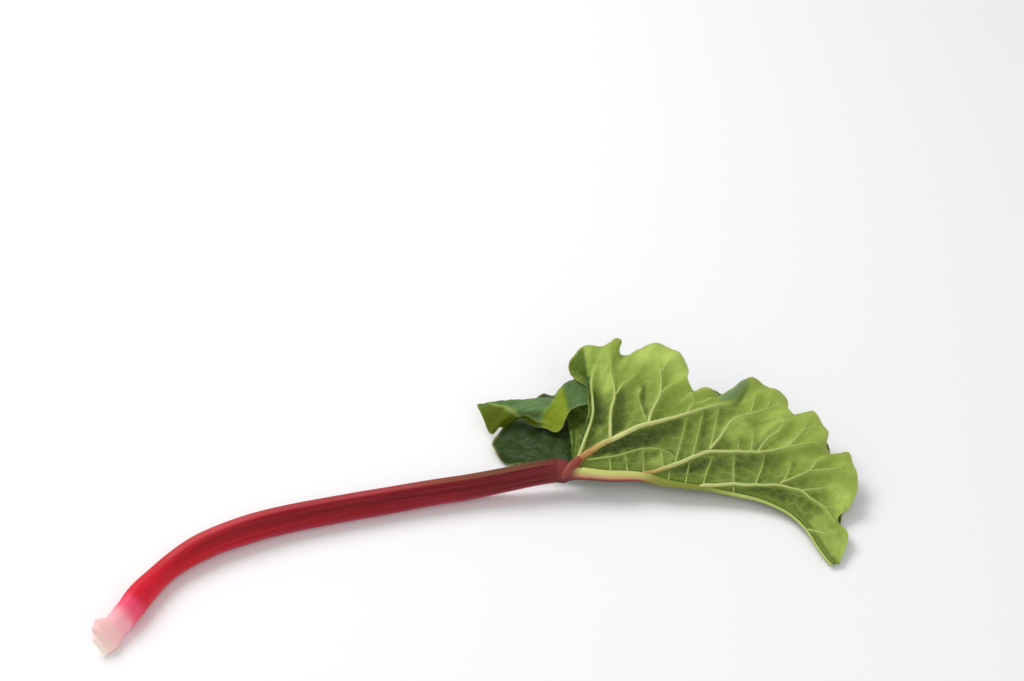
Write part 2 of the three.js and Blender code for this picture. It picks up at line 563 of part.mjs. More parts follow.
function circleBody(stations) {
  return loft(stations.map(({ at, up, back, radius }) => [...Array(MIDRIB_SIDES).keys()].map((j) => {
    const a = (j / MIDRIB_SIDES) * 2 * Math.PI;
    return add(add(at, back, radius * Math.cos(a)), up, radius * Math.sin(a));
  })));
}

// round tube through [x, y, z, radius] places, square to the start direction where one is given
function tubeBody(places, start) {
  return circleBody(places.map((place, i) => {
    const step = sub(places[Math.min(i + 1, places.length - 1)], places[Math.max(i - 1, 0)]);
    const ahead = i === 0 && start ? start : unit(step.slice(0, 3));
    const back = unit([-ahead[1], ahead[0], 0]);
    return { at: place.slice(0, 3), back, up: cross(ahead, back), radius: place[3] };
  }));
}

function midribBody() {
  return circleBody([...Array(MIDRIB_RINGS + 1).keys()].map((i) => {
    const fold = foldAt(MIDRIB_START + (i / MIDRIB_RINGS) * (MIDRIB_END - MIDRIB_START));
    return { ...fold, at: fold.rib };
  }));
}

// the knuckle starts square to the end of the stalk, a small gap away from it
function knuckleBody() {
  const road = walk(STALK_PATH);
  const { ahead } = stalkFrame(1, road);
  const end = stalkRing(1, road);
  const middle = end.reduce((sum, p) => add(sum, p, 1 / end.length), [0, 0, 0]);
  return tubeBody([[...add(middle, ahead, GAP), KNUCKLE_START], ...KNUCKLE], ahead);
}

async function buildRibs(sheet) {
  const wasm = await Module();
  wasm.setup();
  const solid = ({ points, faces }) => new wasm.Manifold(new wasm.Mesh({
    numProp: 3,
    vertProperties: new Float32Array(points.flat()),
    triVerts: new Uint32Array(outward(points, faces).flat()),
  }));
  const bodies = [midribBody(), knuckleBody(), tubeBody(ROOT_RIDGE),
    ...NEAR_RIBS.map((rib) => ribBody(sheet, rib, true, RIB_CROWN, RIB_STEP)),
    ...NEAR_RUNGS.map((line) => ribBody(sheet, [...RUNG_WIDTH, ...line], true, RUNG_CROWN, RUNG_STEP)),
    ...FAR_RIBS.map((rib) => ribBody(sheet, rib, false, RIB_CROWN, RIB_STEP))];
  const whole = bodies.map(solid).reduce((a, b) => a.add(b));
  const { vertProperties, triVerts, numProp } = whole.getMesh();
  const points = [];
  for (let i = 0; i < vertProperties.length; i += numProp) points.push([...vertProperties.slice(i, i + 3)]);
  const faces = [];
  for (let i = 0; i < triVerts.length; i += 3) faces.push([...triVerts.slice(i, i + 3)]);
  return { points, faces };
}

// ---- assembly -----------------------------------------------------------------------------------
function mesh(name, body, colour, roughness) {
  const material = new THREE.MeshStandardMaterial({ color: colour, roughness, metalness: 0 });
  material.name = name;
  const part = new THREE.Mesh(solidFrom(body.points, body.faces), material);
  part.name = name;
  return part;
}

const whole = new THREE.Group();
whole.name = 'rhubarb_stalk';
whole.add(mesh('stalk', buildStalk(), 0xa01c36, 0.4));
const sheet = bladeSheet();
whole.add(mesh('leaf_ribs', await buildRibs(sheet), 0xb9bd6a, 0.5));
whole.add(mesh('leaf_blade', thicken(sheet, BLADE_THICK), 0x7f9a4c, 0.55));
export default whole;
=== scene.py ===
import math

import bpy
import numpy as np
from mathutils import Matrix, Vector, noise
from mathutils.bvhtree import BVHTree


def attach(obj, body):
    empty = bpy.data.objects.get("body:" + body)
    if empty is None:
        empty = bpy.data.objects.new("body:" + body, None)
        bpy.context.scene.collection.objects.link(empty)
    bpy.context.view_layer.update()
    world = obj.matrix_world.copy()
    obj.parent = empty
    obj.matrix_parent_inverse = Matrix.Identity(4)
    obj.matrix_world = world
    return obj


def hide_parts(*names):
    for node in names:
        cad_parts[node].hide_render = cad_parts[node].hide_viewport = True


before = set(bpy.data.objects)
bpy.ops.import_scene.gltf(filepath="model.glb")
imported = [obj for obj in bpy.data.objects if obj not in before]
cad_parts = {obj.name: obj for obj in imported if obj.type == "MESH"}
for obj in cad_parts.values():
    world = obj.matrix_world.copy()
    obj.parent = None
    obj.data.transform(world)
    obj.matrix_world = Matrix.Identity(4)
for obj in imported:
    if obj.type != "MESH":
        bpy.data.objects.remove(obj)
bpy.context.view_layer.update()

# ---- sizes of the drawing, millimetres -----------------------------------------------------------
MM = 0.001
CENTRE = np.array([-17.7, -199.4, 0.0])  # middle of the drawing, which the frame puts at its origin
BLADE_THICK = 0.9
GAP = 0.4  # air between the ribs and the blade
TABLE_GAP = 0.1  # the blade stays this far above the table
LOWEST_MIDDLE = BLADE_THICK / 2 + TABLE_GAP
FIRST_COLUMN = 5.4  # distance of the blade's first column from the leaf tip
FOLD_RADIUS = 2.0  # half distance between the two halves at the fold, by the knuckle
FOLD_RADIUS_TIP = 1.0
RUFFLE = 1.6  # height of the small waves along the margin
RUFFLE_LENGTH = 23
WAVE_FADE = 3  # how fast the waves die out from the margin
EVEN_STRETCH = 34  # margin is evened over this length to each side
EVEN_STRETCH_LOBE = 8
EVEN_SHARE = 0.45  # and at most over this share of the way from the fold to the margin
EVEN_SAMPLES = 6
FULL_SWELL = 60  # width of the blade at which it swells fully
FULL_WAVE = 40  # and at which its waves and hollows are full
NEAR_BELLY = 6
FAR_SAG = -2
NEAR_HOLLOW = 5.0  # how far the blade lies below its ribs
FAR_HOLLOW = -1.5
HOLLOW_REACH = 8
LOBE_LEAD = 2  # margin points before the lobe that its two lines start with
LOBE_BLEND = 4  # margin points over which the blade turns from plain to drawn
ROOT_REACH = 6  # a rib that starts this near the midrib is led on to it
RUNG_WIDTH = (1.1, 0.9)
NUDGE = 0.1  # how far along to each side the direction of a curve is read
FAR_OFF = 1e9

# the stalk from its butt to the knuckle: its path, then sizes and places at shares of its length
STALK_PATH = [[-291, -344], [-275, -317], [-264, -294], [-250, -271], [-230, -252.5], [-206, -238],
    [-164, -220.5], [-90, -200.5], [-36, -188.5], [4, -182], [34, -177]]
STALK_WIDTH = [[0, 17], [0.006, 22.5], [0.02, 25], [0.045, 18.5], [0.08, 19.5], [0.11, 20.5],
    [0.2, 17.5], [0.3, 20.5], [0.4, 22], [0.6, 21.3], [0.8, 20], [1, 18.5]]
STALK_DEPTH = [[0, 5.5], [0.006, 9], [0.02, 11], [0.05, 12.5], [0.1, 14.5], [0.2, 14.5], [0.3, 16],
    [0.6, 15.5], [1, 14.5]]
STALK_TURN = [[0, -42], [0.1, -26], [0.25, -12], [0.5, -8], [1, -8]]
STALK_LIFT = [[0, 0.2], [0.12, 0.9], [0.3, 0.3], [0.5, -0.6], [0.64, -0.6], [0.8, 1.0], [1, 9]]
# half of its section, in shares of its width and depth, from the middle of the flat face
SECTION = [[0, 0.3], [0.22, 0.31], [0.38, 0.35], [0.46, 0.35], [0.5, 0.25], [0.5, 0.08], [0.47, -0.12],
    [0.4, -0.27], [0.29, -0.38], [0.15, -0.44], [0, -0.46]]
# the leaf, from the knuckle to the tip and back round each half
MIDRIB = [[46, -178, 19.5], [71, -182, 19], [97, -181, 17], [118, -186, 15], [143, -189, 13],
    [162, -192.5, 11], [171, -194, 10], [189, -199.5, 9], [207, -210, 7], [219, -226, 6], [226, -243, 5],
    [233, -258, 4], [240, -267, 3.2]]
MIDRIB_RADIUS = [[0, 4.6], [0.15, 4.3], [0.25, 3.6], [0.35, 2.4], [0.5, 1.5], [0.7, 1.1], [1, 0.9]]
NEAR_MARGIN = [[241, -265, 4], [242, -258, 5], [249, -241, 8], [249, -229, 9], [244, -220, 7],
    [246, -214, 8], [255, -206, 12], [261, -192, 14], [262, -181, 16], [260, -169, 20], [257, -160, 22],
    [248, -160, 20], [241, -153, 22], [243, -143, 28], [239, -135, 30], [232, -124, 33], [226, -123, 32],
    [218, -125, 29], [214, -119, 31], [213, -112, 36], [201, -106, 41], [190, -102, 46], [181, -103, 46],
    [172, -116, 36], [166, -115, 38], [149, -109, 44], [142, -111, 42], [136, -104, 47], [137, -95, 52],
    [130, -84, 57], [119, -77, 60], [106, -75, 58], [99, -76, 56], [94.5, -78, 53],
    [91, -80, 50.5], [86, -77.5, 50.5], [84, -74, 54], [86, -71.5, 59], [81, -71.5, 61],
    [75, -74.5, 60], [64, -78, 59.5], [52, -79.5, 58.5]]
NEAR_LOBE = [[44, -88, 48], [48, -94, 42], [64, -104, 36], [60, -116, 32], [47, -118, 31],
    [38, -130, 20], [26, -126, 15], [14, -116, 14], [5, -112, 14], [-11, -115, 7], [-16, -119, 4],
    [-21, -114, 12], [-27, -103, 21], [-14, -102, 20]]
# the two lines that the curled lobe is drawn through between its fold and its margin
NEAR_LOBE_BEND = [[58.5, -139, 38.5], [58.5, -139, 36.5], [58.5, -140, 31], [60.5, -138, 28],
    [61, -133, 23.5], [61, -122, 20], [57, -118, 19], [53, -113, 18], [51, -110, 17.5],
    [48, -108, 17], [46, -105, 16.5], [45, -104, 16.5], [43, -103, 16.5], [42, -101, 16.5],
    [40, -99, 16], [38, -97, 15.5]]
NEAR_LOBE_CREST = [[58.5, -108, 49.5], [58.5, -108, 47.5], [58.5, -103, 43], [60.5, -108, 38.5],
    [65, -111, 31], [60, -92, 36], [44, -95, 35], [34, -107, 31], [29, -114, 27], [23, -116, 26],
    [16, -115, 25.5], [9, -113, 25], [4, -110, 24.5], [0, -107, 24], [0, -103, 22.5],
    [6, -99, 20.5]]
# which share of the midrib each point of the margin belongs to
NEAR_FEET = [[0, 1], [4, 0.85], [9, 0.5], [13, 0.27], [23, 0]]
FAR_MARGIN = [[241, -265, 2.4], [243, -252, 3], [248, -236, 4], [246, -222, 3], [250, -206, 7],
    [258, -186, 1], [255, -167, 10], [247, -157, 1], [244, -139, 10], [233, -125, 1], [222, -110, 11],
    [205, -102, 1], [195, -86, 11], [177, -82, 1], [160, -72, 10], [148, -77, 1], [132, -62, 11],
    [112, -54, 1], [92, -56, 11], [72, -52, 1], [52, -62, 10], [36, -68, 1], [20, -82, 10], [6, -94, 1],
    [-4, -110, 9], [-14, -124, 1], [-15, -136, 8], [-9, -147, 3], [0, -153, 5]]
FAR_FEET = [[0, 1], [2, 0.85], [6, 0.5], [9, 0.27], [15, 0]]
# ribs in plan: width at the root and at the end, then the line
NEAR_RIBS = [
    [5.2, 1.4, [46, -174], [50, -171.5], [54, -167], [67, -159], [82, -152], [98, -145], [113, -141],
      [134, -135], [149, -129], [166, -124]],
    [2.8, 1.2, [46, -173], [51, -166.2], [55, -156], [60.5, -140], [62, -131], [61.5, -120],
      [61.5, -111], [64, -95]],
    [3.4, 1.1, [94, -181], [105, -178], [122, -173.5], [133, -170], [143, -166], [151, -164],
      [166, -164.6], [181, -165], [193, -164], [211, -159], [231, -153], [237, -153]],
    [3.0, 1.0, [141, -189], [150, -187.5], [165, -187.3], [180, -188.6], [195, -190], [202, -191],
      [210, -194], [218, -197], [224, -203], [234, -211], [241, -222]],
    [1.5, 0.9, [219.5, -227], [225, -230], [233, -235], [241, -233]],
    [2.4, 1.0, [150, -163], [159, -152], [167, -140], [172, -135], [183, -130], [194, -125], [206, -119]],
    [1.4, 0.9, [184, -129], [186, -121], [191, -111]],
    [1.3, 0.9, [197, -123], [201, -113]],
    [1.7, 0.9, [187, -165], [195, -153], [205, -145], [210, -136]],
    [1.5, 0.9, [210, -159], [217, -152], [224, -142], [228, -134]],
    [1.2, 0.9, [224, -142], [234, -138], [240, -139]],
    [1.8, 0.9, [202, -190], [213, -186], [225, -180], [232, -171], [239, -167]],
    [1.4, 0.9, [225, -180], [241, -178], [250, -175], [255, -170]],
    [1.4, 0.9, [218, -197], [230, -196], [243, -194]],
    [2.6, 1.1, [75, -155], [75, -144], [76, -133], [79, -120], [77, -104], [76, -84]],
    [1.6, 0.9, [79, -120], [85, -113], [90, -109], [95, -105]],
    [2.4, 1.0, [104, -143], [107, -134], [111, -126], [114, -120], [115, -105], [113, -94]],
    [1.3, 0.9, [115, -103], [121, -95], [125, -91]],
    [1.6, 0.9, [114, -120], [119, -115], [129, -108]],
    [1.5, 0.9, [134, -135], [140, -124], [139, -120], [137, -114]],
    [1.2, 0.9, [138.5, -125.5], [148, -121], [151.5, -120.7]],
]
# cross ribs in plan
NEAR_RUNGS = [
    [[56, -169], [69, -168], [81, -166], [90, -163], [100, -160], [113, -160], [120, -163], [125, -170]],
    [[75, -178], [74, -165]], [[88, -181], [86, -162]], [[100, -181], [100, -158]],
    [[115, -176], [113, -157]], [[124, -172], [128, -157], [134, -137]],
    [[137, -168.5], [142, -148], [147, -131]], [[151, -162], [155, -144], [159, -127]],
    [[118, -186], [120, -176]], [[131, -188], [133, -179], [135, -170]],
    [[144, -189], [148, -177], [153, -167]], [[168, -189], [168, -177], [169, -166]],
    [[184, -189], [190, -173], [192, -165]], [[205, -189], [209, -180], [212, -170]],
    [[172, -165], [173, -152]], [[182, -165], [184, -150], [185, -142]],
    [[103, -142], [99, -127], [97, -119], [100, -114]], [[234, -210], [249, -210]],
]
FAR_RIBS = [
    [4.0, 1.5, [48, -174], [60, -156], [82, -138], [120, -112], [152, -90]],
    [3.2, 1.3, [47, -176], [50, -158], [52, -135], [50, -100], [48, -78]],
    [3.2, 1.2, [96, -184], [104, -177], [140, -160], [190, -140], [222, -124]],
    [2.6, 1.1, [143, -190], [152, -184], [190, -180], [225, -176], [246, -180]],
    [2.0, 1.1, [82, -138], [88, -100], [90, -72]], [1.8, 1.0, [120, -112], [124, -84]],
    [1.8, 1.0, [140, -160], [165, -125], [172, -96]], [1.6, 1.0, [190, -140], [204, -118]],
    [2.0, 1.0, [51, -145], [30, -118], [14, -104]],
]
# place and radius along the knuckle, and along the ridge from it to the largest rib
KNUCKLE = [[40, -177.5, 18.4, 8.2], [44, -178.4, 18.6, 6.2], [48, -179.3, 18.9, 5],
  [54, -180, 19, 4.6], [64, -181, 19, 4.4]]
ROOT_RIDGE = [[38.5, -182, 18.5, 2.6], [40, -182, 21.5, 3], [43, -179.5, 23.8, 3.2],
  [47, -174.5, 24.8, 3.2], [51.5, -170, 25.5, 2.6]]
KNUCKLE_START = 8.6
MIDRIB_START, MIDRIB_END = 0.03, 0.97  # shares of the midrib that its tube covers

# ---- how finely the pieces are drawn -------------------------------------------------------------
COLUMN_STEP = 1.3
NEAR_ROWS = 60
FAR_ROWS = 34
FOLD_STEPS = 7
STALK_RINGS = 420
STALK_SIDES = 96
RIB_STEP = 1.2
MIDRIB_RINGS = 200
MIDRIB_SIDES = 28
RIDGE_RINGS = 40


# ---- curves --------------------------------------------------------------------------------------
def through(points, u):
    """Smooth curve through the points, at index u."""
    p = np.asarray(points, float)
    u = np.atleast_1d(np.asarray(u, float))
    last = len(p) - 1
    i = np.clip(np.floor(u).astype(int), 0, last - 1)
    t = np.clip(u - i, 0, 1)[:, None]
    a, b, c, d = (p[np.clip(i + k, 0, last)] for k in (-1, 0, 1, 2))
    return 0.5 * (2 * b + (c - a) * t + (2 * a - 5 * b + 4 * c - d) * t**2 + (3 * b - a - 3 * c + d) * t**3)


def graph(pairs, x):
    """Value at x from [x, value] pairs, eased between them."""
    xs, vs = np.array(pairs, float).T
    x = np.clip(np.asarray(x, float), xs[0], xs[-1])
    i = np.clip(np.searchsorted(xs, x) - 1, 0, len(xs) - 2)
    t = (x - xs[i]) / (xs[i + 1] - xs[i])
    return vs[i] + (vs[i + 1] - vs[i]) * t * t * (3 - 2 * t)


def ramp(pairs, x):
    """Value at x from [x, value] pairs, in straight lines between them."""
    xs, vs = np.array(pairs, float).T
    return np.interp(x, xs, vs)


def smooth(t):
    """From 0 to 1 as t does, eased at both ends."""
    t = np.clip(t, 0, 1)
    return t * t * (3 - 2 * t)


def step(x, low, high):
    """0 where x is low and 1 where it is high, eased between them; high may be the smaller one."""
    return smooth((x - low) / (high - low))


def bell(x, width, power=2):
    """1 where x is 0, dying out over the width."""
    return np.exp(-((x / width) ** power))


def unit(v):
    return v / np.maximum(np.linalg.norm(v, axis=-1, keepdims=True), 1e-9)


def level_back(ahead):
    """The level direction at a right angle to the way ahead."""
    return unit(np.stack([-ahead[:, 1], ahead[:, 0], 0 * ahead[:, 0]], -1))


class Road:
    """Lengths along a curve, so that it can be walked in even steps."""

    def __init__(self, points, per_span=24):
        self.u = np.linspace(0, len(points) - 1, (len(points) - 1) * per_span + 1)
        steps = np.linalg.norm(np.diff(through(points, self.u), axis=0), axis=1)
        self.marks = np.concatenate([[0], np.cumsum(steps)])
        self.run = self.marks[-1]

    def at(self, distance):
        return np.interp(distance, self.marks, self.u)

    def up_to(self, u):
        return np.interp(u, self.u, self.marks)


# ---- fold of the leaf ----------------------------------------------------------------------------
midrib_road = Road(MIDRIB)


def fold_at(v):
    """The midrib and the fold behind it, at share v from the knuckle."""
    span = len(MIDRIB) - 1
    u = midrib_road.at(np.atleast_1d(v) * midrib_road.run)
    rib = through(MIDRIB, u)
    ahead = unit(through(MIDRIB, np.minimum(u + NUDGE, span)) - through(MIDRIB, np.maximum(u - NUDGE, 0)))
    back = level_back(ahead)
    up = np.cross(ahead, back)
    radius = graph(MIDRIB_RADIUS, v).reshape(-1, 1)
    opening = (FOLD_RADIUS + (FOLD_RADIUS_TIP - FOLD_RADIUS) * np.atleast_1d(v))[:, None]
    centre = rib + back * (radius + GAP + BLADE_THICK / 2 + opening)
    return {"rib": rib, "back": back, "up": up, "radius": radius, "opening": opening, "centre": centre}


def fold_point(v, degrees):
    """A point on the round of the fold, that many degrees up from its back."""
    fold = fold_at(v)
    a = math.radians(degrees)
    return fold["centre"] + (fold["back"] * math.cos(a) + fold["up"] * math.sin(a)) * fold["opening"]


# ---- distances in plan from drawn lines ----------------------------------------------------------
def segments_of(lines):
    return np.array([[a[:2], b[:2]] for line in lines for a, b in zip(line, line[1:])], float)


def rib_segments(ribs):
    return segments_of([rib[2:] for rib in ribs] + [MIDRIB])


def offsets(segments, xy):
    """For each segment its direction, and how far and which way each point is from it."""
    for a, b in segments:
        d = b - a
        t = np.clip(((xy - a) @ d) / (d @ d), 0, 1)
        away = xy - a - t[:, None] * d
        yield d, away, np.linalg.norm(away, axis=1)


def line_distance(segments, xy):
    """Distance from the nearest of the segments."""
    best = np.full(len(xy), FAR_OFF)
    for _, _, length in offsets(segments, xy):
        best = np.minimum(best, length)
    return best


# ---- the two halves of the blade -----------------------------------------------------------------
NEAR_EDGE = NEAR_MARGIN + NEAR_LOBE
LOBE_START = len(NEAR_MARGIN) - LOBE_LEAD
# "foot" is where the half leaves the round of the fold, in degrees
near = {"edge": NEAR_EDGE, "road": Road(NEAR_EDGE), "feet": NEAR_FEET, "foot": 90, "swell": NEAR_BELLY,
        "hollow": NEAR_HOLLOW, "segments": rib_segments(NEAR_RIBS), "drawn": True}
far = {"edge": FAR_MARGIN, "road": Road(FAR_MARGIN), "feet": FAR_FEET, "foot": 270, "swell": FAR_SAG,
       "hollow": FAR_HOLLOW, "segments": rib_segments(FAR_RIBS), "drawn": False}


def even_margin(half, distance, stretch):
    """The margin without its small turns: its mean over the stretch to each side."""
    total = 0
    for i in range(-EVEN_SAMPLES, EVEN_SAMPLES + 1):
        at = np.clip(distance + stretch * i / EVEN_SAMPLES, 0, half["road"].run)
        total = total + through(half["edge"], half["road"].at(at))
    return total / (2 * EVEN_SAMPLES + 1)


def half_surface(half, distance, s):
    """Points of one half: one column for each distance along the margin, one row for each share s."""
    k = half["road"].at(distance)
    start = fold_point(np.clip(ramp(half["feet"], k), 0, 1), half["foot"])
    end = through(half["edge"], k)
    reach = np.linalg.norm(end - start, axis=1)
    blend = smooth((k - LOBE_START) / LOBE_BLEND + 1) if half["drawn"] else 0 * k
    stretch = EVEN_STRETCH + (EVEN_STRETCH_LOBE - EVEN_STRETCH) * blend
    stretch = np.minimum(stretch, np.minimum(distance, EVEN_SHARE * reach))
    even = even_margin(half, distance, stretch)
    middle = start + (even - start) * 0.5
    middle[:, 2] += half["swell"] * np.clip(reach / FULL_SWELL, 0, 1)
    rough = end - even
    size = np.clip(reach / FULL_WAVE, 0, 1)
    rough[:, 2] += RUFFLE * np.sin(distance / RUFFLE_LENGTH * 2 * math.pi) * size
    t = s[None, :, None]
    curve = (start[:, None] * (1 - t) * (1 - 2 * t) + middle[:, None] * 4 * t * (1 - t)
             + even[:, None] * t * (2 * t - 1))
    if half["drawn"]:
        bend, crest = (through(line, k - LOBE_START) for line in (NEAR_LOBE_BEND, NEAR_LOBE_CREST))
        stations = np.stack([start, bend, crest, even], 1)
        hand = np.stack([through(line, s * (len(line) - 1)) for line in stations])
        curve += (hand - curve) * blend[:, None, None]
    points = curve + rough[:, None] * t**WAVE_FADE
    flat = points.reshape(-1, 3)
    from_rib = line_distance(half["segments"], flat[:, :2]).reshape(points.shape[:2])
    hollow = half["hollow"] * (1 - bell(from_rib, HOLLOW_REACH)) * np.sin(math.pi * s[None])
    points[..., 2] -= hollow * ((1 - blend) * size)[:, None]
    points[..., 2] = np.maximum(points[..., 2], LOWEST_MIDDLE)
    return points


def blade_grid():
    """Middle surface of the whole blade: points, faces, and for each point its half, row share and lobe."""
    near_s = np.linspace(0, 1, NEAR_ROWS + 1)
    far_s = np.linspace(0, 1, FAR_ROWS + 1)
    rib_run = near["road"].up_to(NEAR_FEET[-1][0])
    count = round(rib_run / COLUMN_STEP)
    distance = np.linspace(FIRST_COLUMN, rib_run, count + 1)
    share = ramp(NEAR_FEET, near["road"].at(distance))
    feet = [[1 - b, a] for a, b in FAR_FEET]
    far_distance = far["road"].up_to(ramp(feet, 1 - share))
    near_part = half_surface(near, distance, near_s)
    far_part = half_surface(far, far_distance, far_s)
    turn = np.stack([fold_point(share, 90 + 180 * j / (FOLD_STEPS + 1)) for j in range(1, FOLD_STEPS + 1)], 1)
    strip = np.concatenate([near_part[:, ::-1], turn, far_part], 1)
    points = list(strip.reshape(-1, 3))
    side = np.concatenate([np.zeros(NEAR_ROWS + 1), np.linspace(0, 1, FOLD_STEPS), np.ones(FAR_ROWS + 1)])
    rows = np.concatenate([near_s[::-1], np.zeros(FOLD_STEPS), far_s])
    notes = [(a, b, 0.0) for _ in range(count + 1) for a, b in zip(side, rows)]
    grid = np.arange(len(points)).reshape(count + 1, -1)
    faces = []

    def join(a, b):
        for j in range(len(a) - 1):
            face = [a[j], b[j], b[j + 1], a[j + 1]]
            faces.append([q for n, q in enumerate(face) if q != face[n - 1]])

    def lobe(half, start, s, foot, flip, column):
        """Columns past the knuckle, which all share the one foot."""
        lobe_count = round((half["road"].run - start) / COLUMN_STEP)
        along = start + (half["road"].run - start) * np.arange(1, lobe_count + 1) / lobe_count
        part = half_surface(half, along, s)
        for i in range(lobe_count):
            ids = [foot]
            for j in range(1, len(s)):
                ids.append(len(points))
                points.append(part[i, j])
                notes.append((float(half is far), s[j], (i + 1) / lobe_count))
            ids = ids[::-1] if flip else ids
            join(column, ids)
            column = ids

    for i in range(count):
        join(grid[i], grid[i + 1])
    last, far_foot = grid[-1], NEAR_ROWS + FOLD_STEPS + 1
    lobe(near, rib_run, near_s, last[NEAR_ROWS], True, last[: NEAR_ROWS + 1])
    lobe(far, far["road"].up_to(FAR_FEET[-1][0]), far_s, last[far_foot], False, last[far_foot:])
    return np.array(points), faces, np.array(notes)


def sheet_normals(points, faces):
    normals = np.zeros_like(points)
    fours = np.array([q if len(q) == 4 else q + [q[-1]] for q in faces])
    a, b, c, d = (points[fours[:, i]] for i in range(4))
    tilt = np.cross(c - a, d - b)
    for i in range(4):
        np.add.at(normals, fours[:, i], tilt)
    return unit(normals)


# ---- relief of the blade: pillows between the veins, a fine net and the swelling beside the ribs -
PILLOW_DEPTH = 1.35  # how far the blade sinks between its cross ribs
PILLOW_REACH = 5.0
PILLOW_EDGE = (4, 0.2)  # how fast the pillows flatten at the margin, and how much stays
RUNG_HEIGHT = 0.8  # swelling of the blade along a cross rib
RUNG_SPREAD = 1.5
RUNG_LINE = 0.8  # a cross rib's pale line is wider than the net's by one over this
RUNG_SHADE = (2.2, 1.5)  # distance and width of the painted shade along its right side
STROKE_EDGE = 3.0  # the higher, the flatter a drawn hollow or swelling and the crisper its edge
STROKE_ROOT = 8  # how fast the drawn hollows and swellings rise from the fold
STROKE_END = 0.45  # and how far along the lobe they reach
ROOT_FADE = 12  # how fast the net and the pillows rise from the fold
TIP_REACH = (14.0, 20.0)  # distance from the leaf's tip over which its two faces take the same colour
SHADE_RIBS = (0, 2, 3)  # the ribs whose near side is hollow and given painted shade
SHADE_REACH = 15.0
SHADE_START = 2.5
NET_SPACING = {"near": 6.5, "far": 10.0}
NET_SEED = {"near": 5, "far": 9}
NET_FROM = 7  # one point in so many may become the middle of a cell
NET_HEIGHT = 0.16
NET_WIDTH = 0.7
CELL_DEPTH = 0.3
CELL_REACH = 2
MOST_CELLS = 900
BLOCK = 4000  # points that are set against the cells at a time
FILLET_HEIGHT = 0.7  # swelling of the blade beside a rib
FILLET_WIDTH = 1.5
# deeper hollows beside the ribs, with painted shade in them: radius, depth, strength of the painted shade,
# then the line they follow
DEEP_HOLLOWS = [
    [5.0, 2.2, 0.95, [64.5, -120], [67, -128], [66, -138]], [3.5, 1.5, 0.5, [63, -138], [59, -156]],
    [5.5, 2.2, 0.75, [84, -120], [84, -132], [81, -142]], [3.5, 1.5, 0.7, [80, -142], [78, -149]],
    [2.2, 1.0, 0.6, [102, -112], [100.5, -122], [102, -133]],
    [3.5, 0.8, 0.8, [124, -178.5], [136, -175], [147, -171.5]], [3.5, 1.2, 0.9, [63, -164], [75, -159]],
    [6.0, 1.8, 1.0, [78, -159], [88, -155], [98, -153], [108, -150]],
    [5.0, 1.2, 0.75, [112, -149], [126, -142]], [2.8, 0.8, 0.3, [147, -128], [149, -140], [145, -157]],
    [3.0, 0.6, 0.4, [150, -172], [162, -172]], [4.0, 0.8, 0.4, [174, -172], [188, -170], [201, -170]],
    [3.0, 0.5, 0.6, [163, -192], [188, -192], [206, -198]],
    [1.8, 0.8, 0.8, [182, -107.5], [178, -114], [172.5, -122.5]],
    [2.5, 0.6, 0.5, [186, -160], [196, -147], [206, -138]],
]
# swellings painted paler, as painted light on their raised faces: radius, height, strength of the painted
# light, then the line
PALE_SWELLS = [
    [8.5, 0.9, 1.0, [104, -84], [116, -82], [124, -88], [130, -98]],
    [5.5, 0.6, 0.9, [73, -111], [71, -99]], [5.0, 0.4, 0.5, [77, -92], [86, -84]],
    [6.0, 0.4, 0.4, [60, -84], [66, -83]], [6.5, 0.7, 0.9, [168, -146], [176, -139]],
    [8.0, 0.5, 0.6, [194, -147], [203, -134], [207, -119]], [7.0, 0.4, 0.5, [211, -157], [220, -162]],
    [8.0, 0.6, 0.9, [246, -194], [250, -208]], [8.0, 0.5, 0.6, [230, -221], [236, -237], [241, -249]],
    [4.5, 0.4, 0.5, [104, -171], [116, -168]], [4.0, 0.4, 0.4, [146, -124], [156, -121]],
]
# the lip of the margin beside the second notch, where the upper side turns over to the front
LIP = [[3.0, 0.8, 1.0, [163, -118.5], [171, -114], [177, -108.5], [180, -105.5]]]
# the curled flap at the end of the near lobe: where each mask comes or goes, along the lobe, across it from
# the fold to the margin, or past the crease
FLAP_MASKS = {
    "flap": [("along", 0.5, 0.62)],
    "bend_side": [("along", 0.4, 0.45), ("along", 0.68, 0.58), ("across", 0.62, 0.54)],
    # fold_back: the folded-back part in dark saturated green, painted shade with light shining through it
    "fold_back": [("along", 0.443, 0.455), ("along", 0.53, 0.5), ("across", 0.62, 0.72)],
    # lime: a patch of painted light shining through the curled flap
    "lime": [("along", 0.665, 0.685), ("along", 0.77, 0.75), ("across", 0.68, 0.73)],
    # olive: painted shade in the hollow past the crease
    "olive": [("along", 0.765, 0.785), ("along", 0.965, 0.945), ("past_crease", 0, 0.03)],
    # crease: a paler line along the bend, which is a painted highlight
    "crease": [("along", 0.73, 0.76), ("along", 0.97, 0.95)],
}
CREASE_AT = 0.72  # across the lobe, and how far it moves out before and after two places along it
CREASE_BEFORE = (0.892, 1.25)
CREASE_AFTER = (0.92, 3)
CREASE_WIDTH = 0.016
CREASE_HEIGHT = 0.9
FOLD_BACK_RIM = (0.95, 0.99, 0.7)  # the folded-back part's painted shade is lighter at its edge, by this share over this stretch


def scatter(points, spacing, seed):
    """A seeded choice of the points that keeps them at least the spacing apart."""
    order = np.random.default_rng(seed).permutation(len(points))
    kept = np.empty((0, 3))
    for i in order:
        if not len(kept) or ((kept - points[i]) ** 2).sum(1).min() > spacing**2:
            kept = np.vstack([kept, points[i]])
        if len(kept) >= MOST_CELLS:
            break
    return kept


def cell_edge_distance(points, sites):
    """Distance to the border between the two nearest sites."""
    out = np.empty(len(points))
    for lo in range(0, len(points), BLOCK):
        block = points[lo: lo + BLOCK]
        d = np.partition(np.linalg.norm(block[:, None] - sites[None], axis=2), 1, axis=1)[:, :2]
        out[lo: lo + BLOCK] = (d[:, 1] - d[:, 0]) / 2
    return out


